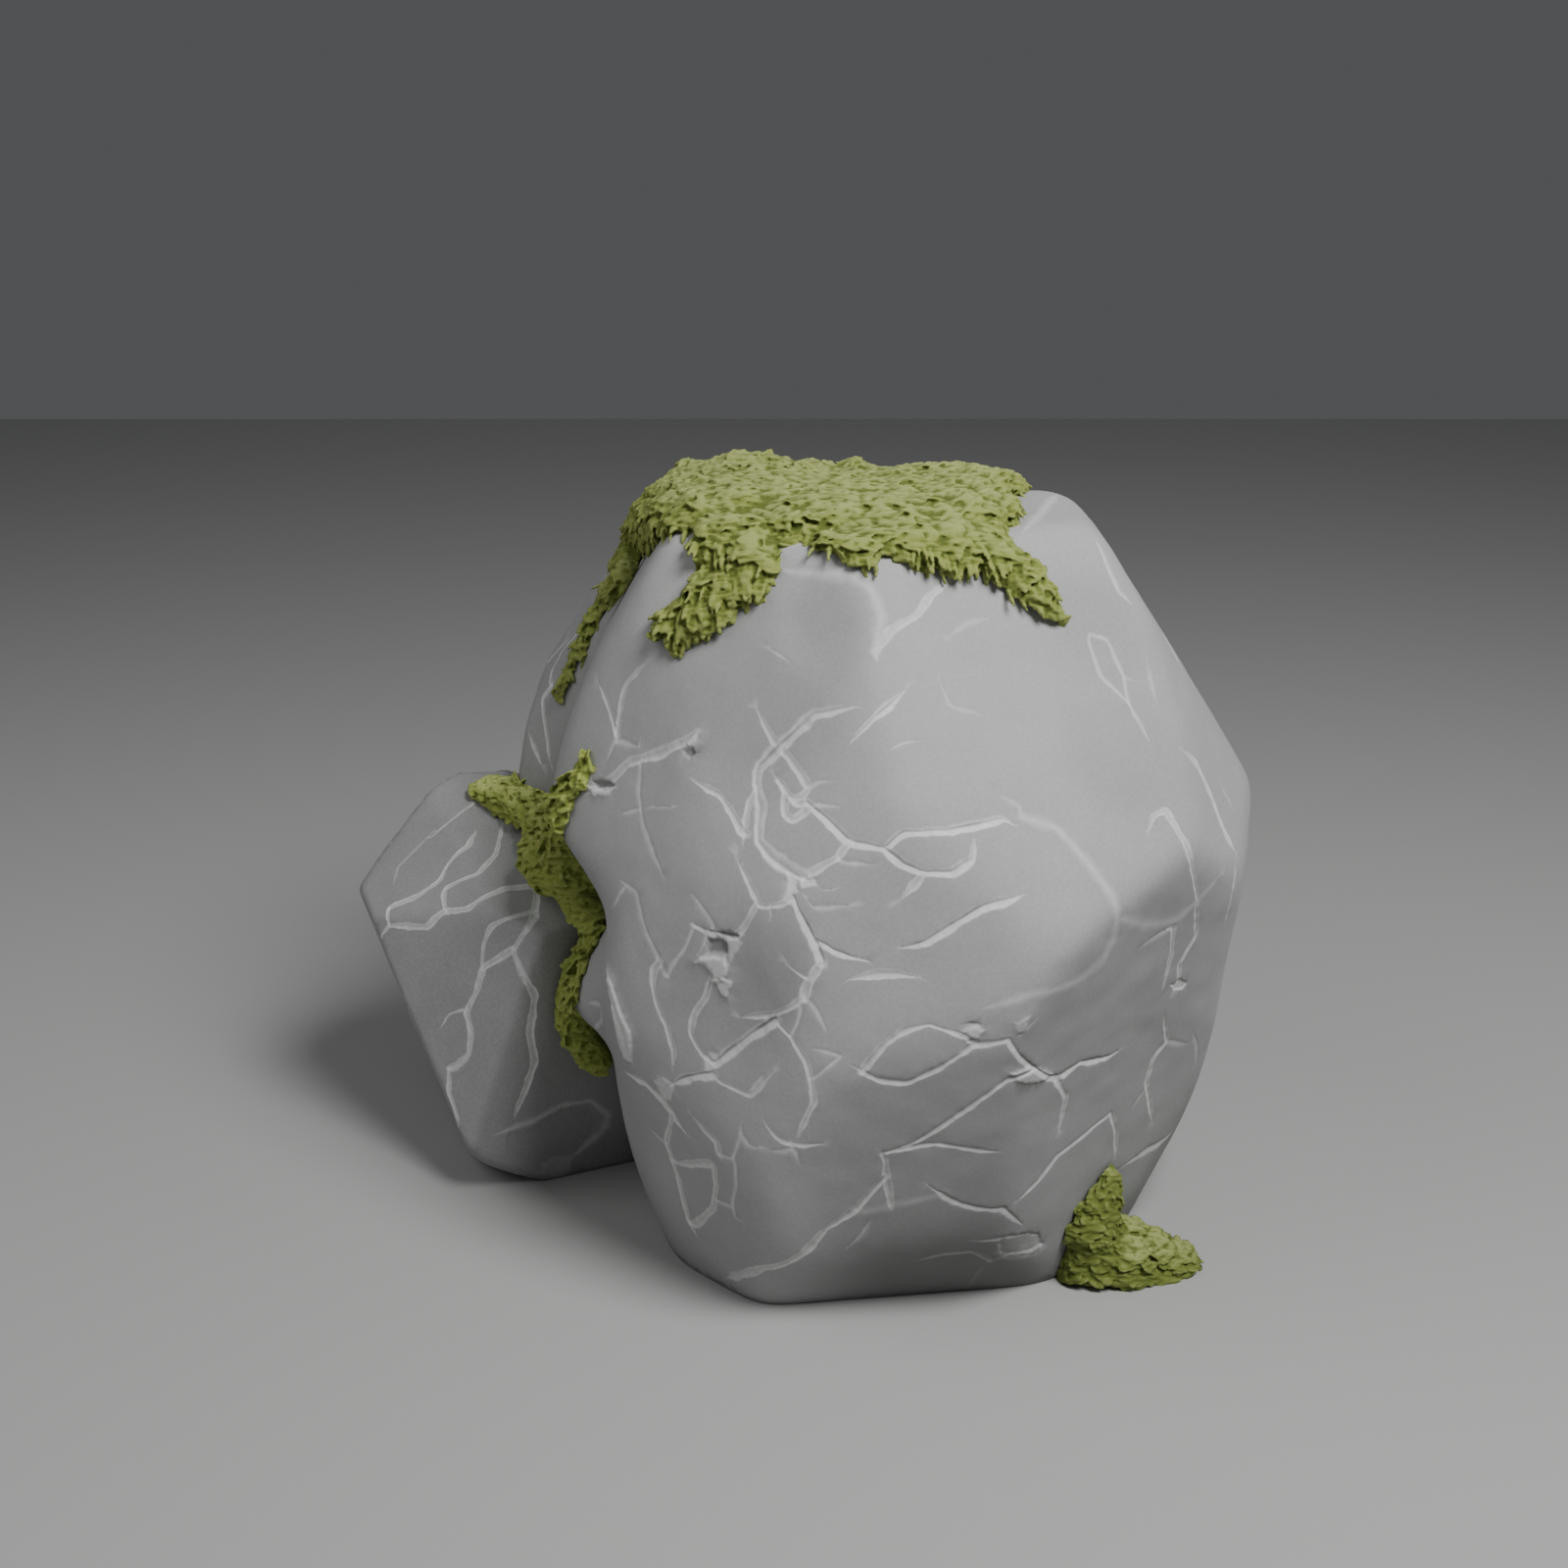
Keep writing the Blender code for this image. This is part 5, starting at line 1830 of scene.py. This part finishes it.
# %% Lay the flaps on a body
def flapped(name):
    """A new mesh: the body of a mat with all its flaps, as loose pieces."""
    body = mat_bodies[name]
    lay = body.modifiers.new("lay flaps", "NODES")
    lay.node_group = LAY_FLAPS
    spots = {item.name: item.identifier for item in LAY_FLAPS.interface.items_tree if item.in_out == "INPUT"}
    titles = [title for title, _, _ in FLAP_INPUTS]
    for title, value in zip(titles, (*FLAP_SIZES[name], MOSS_FINISHES[name])):
        lay[spots[title]] = value
    graph = bpy.context.evaluated_depsgraph_get()
    mesh = bpy.data.meshes.new_from_object(body.evaluated_get(graph))
    bpy.data.objects.remove(body)
    for title in [layer.name for layer in mesh.attributes if not layer.is_internal and not layer.is_required]:
        mesh.attributes.remove(mesh.attributes[title])
    return mesh


loose_mats = {name: flapped(name) for name in FLAP_SIZES}
print("faces with all flaps:", {name: len(mesh.polygons) for name, mesh in loose_mats.items()})

# %% Melt each mat into one skin
SKIN_VOXEL = {"moss_cap": 1.0 * MM, "seam_moss": 0.9 * MM, "foot_moss": 0.9 * MM}
MOST_FACES = {"moss_cap": 194_000, "seam_moss": 170_000, "foot_moss": 120_000}
# The depths and heights, measured from the eased skin, of creases and tips, where their painted shade and
# painted highlight begin and are full.
CREASE_DEEP, CREASE_END, TIP_START, TIP_FULL = -0.8 * MM, 0.1 * MM, 0.1 * MM, 0.9 * MM


def grown(name):
    """The mat with its flaps, as one skin with its numbers kept on the points."""
    mesh = melted(loose_mats[name], SKIN_VOXEL[name], 1)
    points = point_array(mesh)
    points += point_array(mesh, "normal") * ledge_heights(name, points)[:, None]
    points[:, 2] = np.maximum(points[:, 2], 0.0)
    mesh.vertices.foreach_set("co", points.astype(np.float32).ravel())
    mesh = thinned_out(mesh, MOST_FACES[name])
    points, normals = point_array(mesh), point_array(mesh, "normal")
    height = ((points - eased_over(mesh, points)) * normals).sum(1)
    # Painted light: shade in the creases, a highlight on the tips, and a lighter green where the moss faces
    # up.
    crease = 1 - smooth(CREASE_DEEP, CREASE_END, height)
    tip = smooth(TIP_START, TIP_FULL, height)
    open_sky = smooth(0.4, 0.97, eased_over(mesh, normals)[:, 2])
    keep_on_points(mesh, {"crease": crease, "tip": tip, "open_sky": open_sky})
    mesh.name = name + "_fronds"
    mesh.materials.clear()
    mesh.materials.append(MOSS_FINISHES[name])
    mesh.polygons.foreach_set("material_index", np.zeros(len(mesh.polygons), np.int32))
    mesh.shade_smooth()
    piece = bpy.data.objects.new(name + "_fronds", mesh)
    bpy.context.scene.collection.objects.link(piece)
    return piece


mats = {name: grown(name) for name in FLAP_SIZES}
for name, piece in mats.items():
    print(name, len(piece.data.polygons), "faces,", [m.name for m in piece.data.materials])

# %% [markdown]
# ## The floor and the light
#
# The stones stand on a plain pale floor. One soft lamp hangs high in front, to the right, so
# each facet takes its own tone from the way it faces. A wide weak lamp on the left and a dim
# sky keep the shadows open.

# %% Lay the floor
FLOOR_SIDE = 8.0
PALE_FLOOR, FLOOR_ROUGHNESS = (0.37, 0.37, 0.365, 1.0), 0.9
half = FLOOR_SIDE / 2
corners = [(-half, -half, 0), (half, -half, 0), (half, half, 0), (-half, half, 0)]
floor_mesh = bpy.data.meshes.new("floor")
floor_mesh.from_pydata(corners, [], [(0, 1, 2, 3)])
floor = bpy.data.objects.new("floor", floor_mesh)
bpy.context.scene.collection.objects.link(floor)
pale_floor = bpy.data.materials.new("pale_floor")
pale_floor.use_nodes = True
floor_shader = pale_floor.node_tree.nodes["Principled BSDF"]
floor_shader.inputs["Base Color"].default_value = PALE_FLOOR
floor_shader.inputs["Roughness"].default_value = FLOOR_ROUGHNESS
floor_mesh.materials.append(pale_floor)
print("floor", FLOOR_SIDE, "m wide")

# %% Hang the lamps and set the sky
# Azimuth and elevation of each lamp in degrees, its width in metres and its watts.
LAMPS = {"soft lamp": (36.0, 53.0, 1.2, 84.0), "fill lamp": (-72.0, 40.0, 2.2, 16.0)}
LAMP_DISTANCE = 2.6
LAMP_AIM = Vector((0.0, 0.0, 0.3))
SKY_STRENGTH = 0.10
for title, (azimuth, elevation, width, power) in LAMPS.items():
    light = bpy.data.lights.new(title, "AREA")
    light.shape = "DISK"
    light.size = width
    light.energy = power
    lamp = bpy.data.objects.new(title, light)
    lamp.location = LAMP_AIM + Vector(bearing(azimuth, elevation)) * LAMP_DISTANCE
    lamp.rotation_euler = (LAMP_AIM - lamp.location).to_track_quat("-Z", "Y").to_euler()
    bpy.context.scene.collection.objects.link(lamp)
    print(title, "at", tuple(round(c, 2) for c in lamp.location))
sky = bpy.data.worlds.new("sky")
sky.use_nodes = True
sky.node_tree.nodes["Background"].inputs["Color"].default_value = (0.88, 0.9, 0.92, 1.0)
sky.node_tree.nodes["Background"].inputs["Strength"].default_value = SKY_STRENGTH
bpy.context.scene.world = sky

# %% [markdown]
# ## Onto the frame
#
# Each piece takes the place of the imported solid it stands for, which is hidden, and rides on
# the body it moves with. Nothing here moves, so all ride on the root.

# %% Fit the pieces to the frame
for stone, piece in skins.items():
    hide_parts(stone)
    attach(piece, "root")
for name, piece in mats.items():
    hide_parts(name)
    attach(piece, "root")
print(len(skins), "stones and", len(mats), "mats fitted")
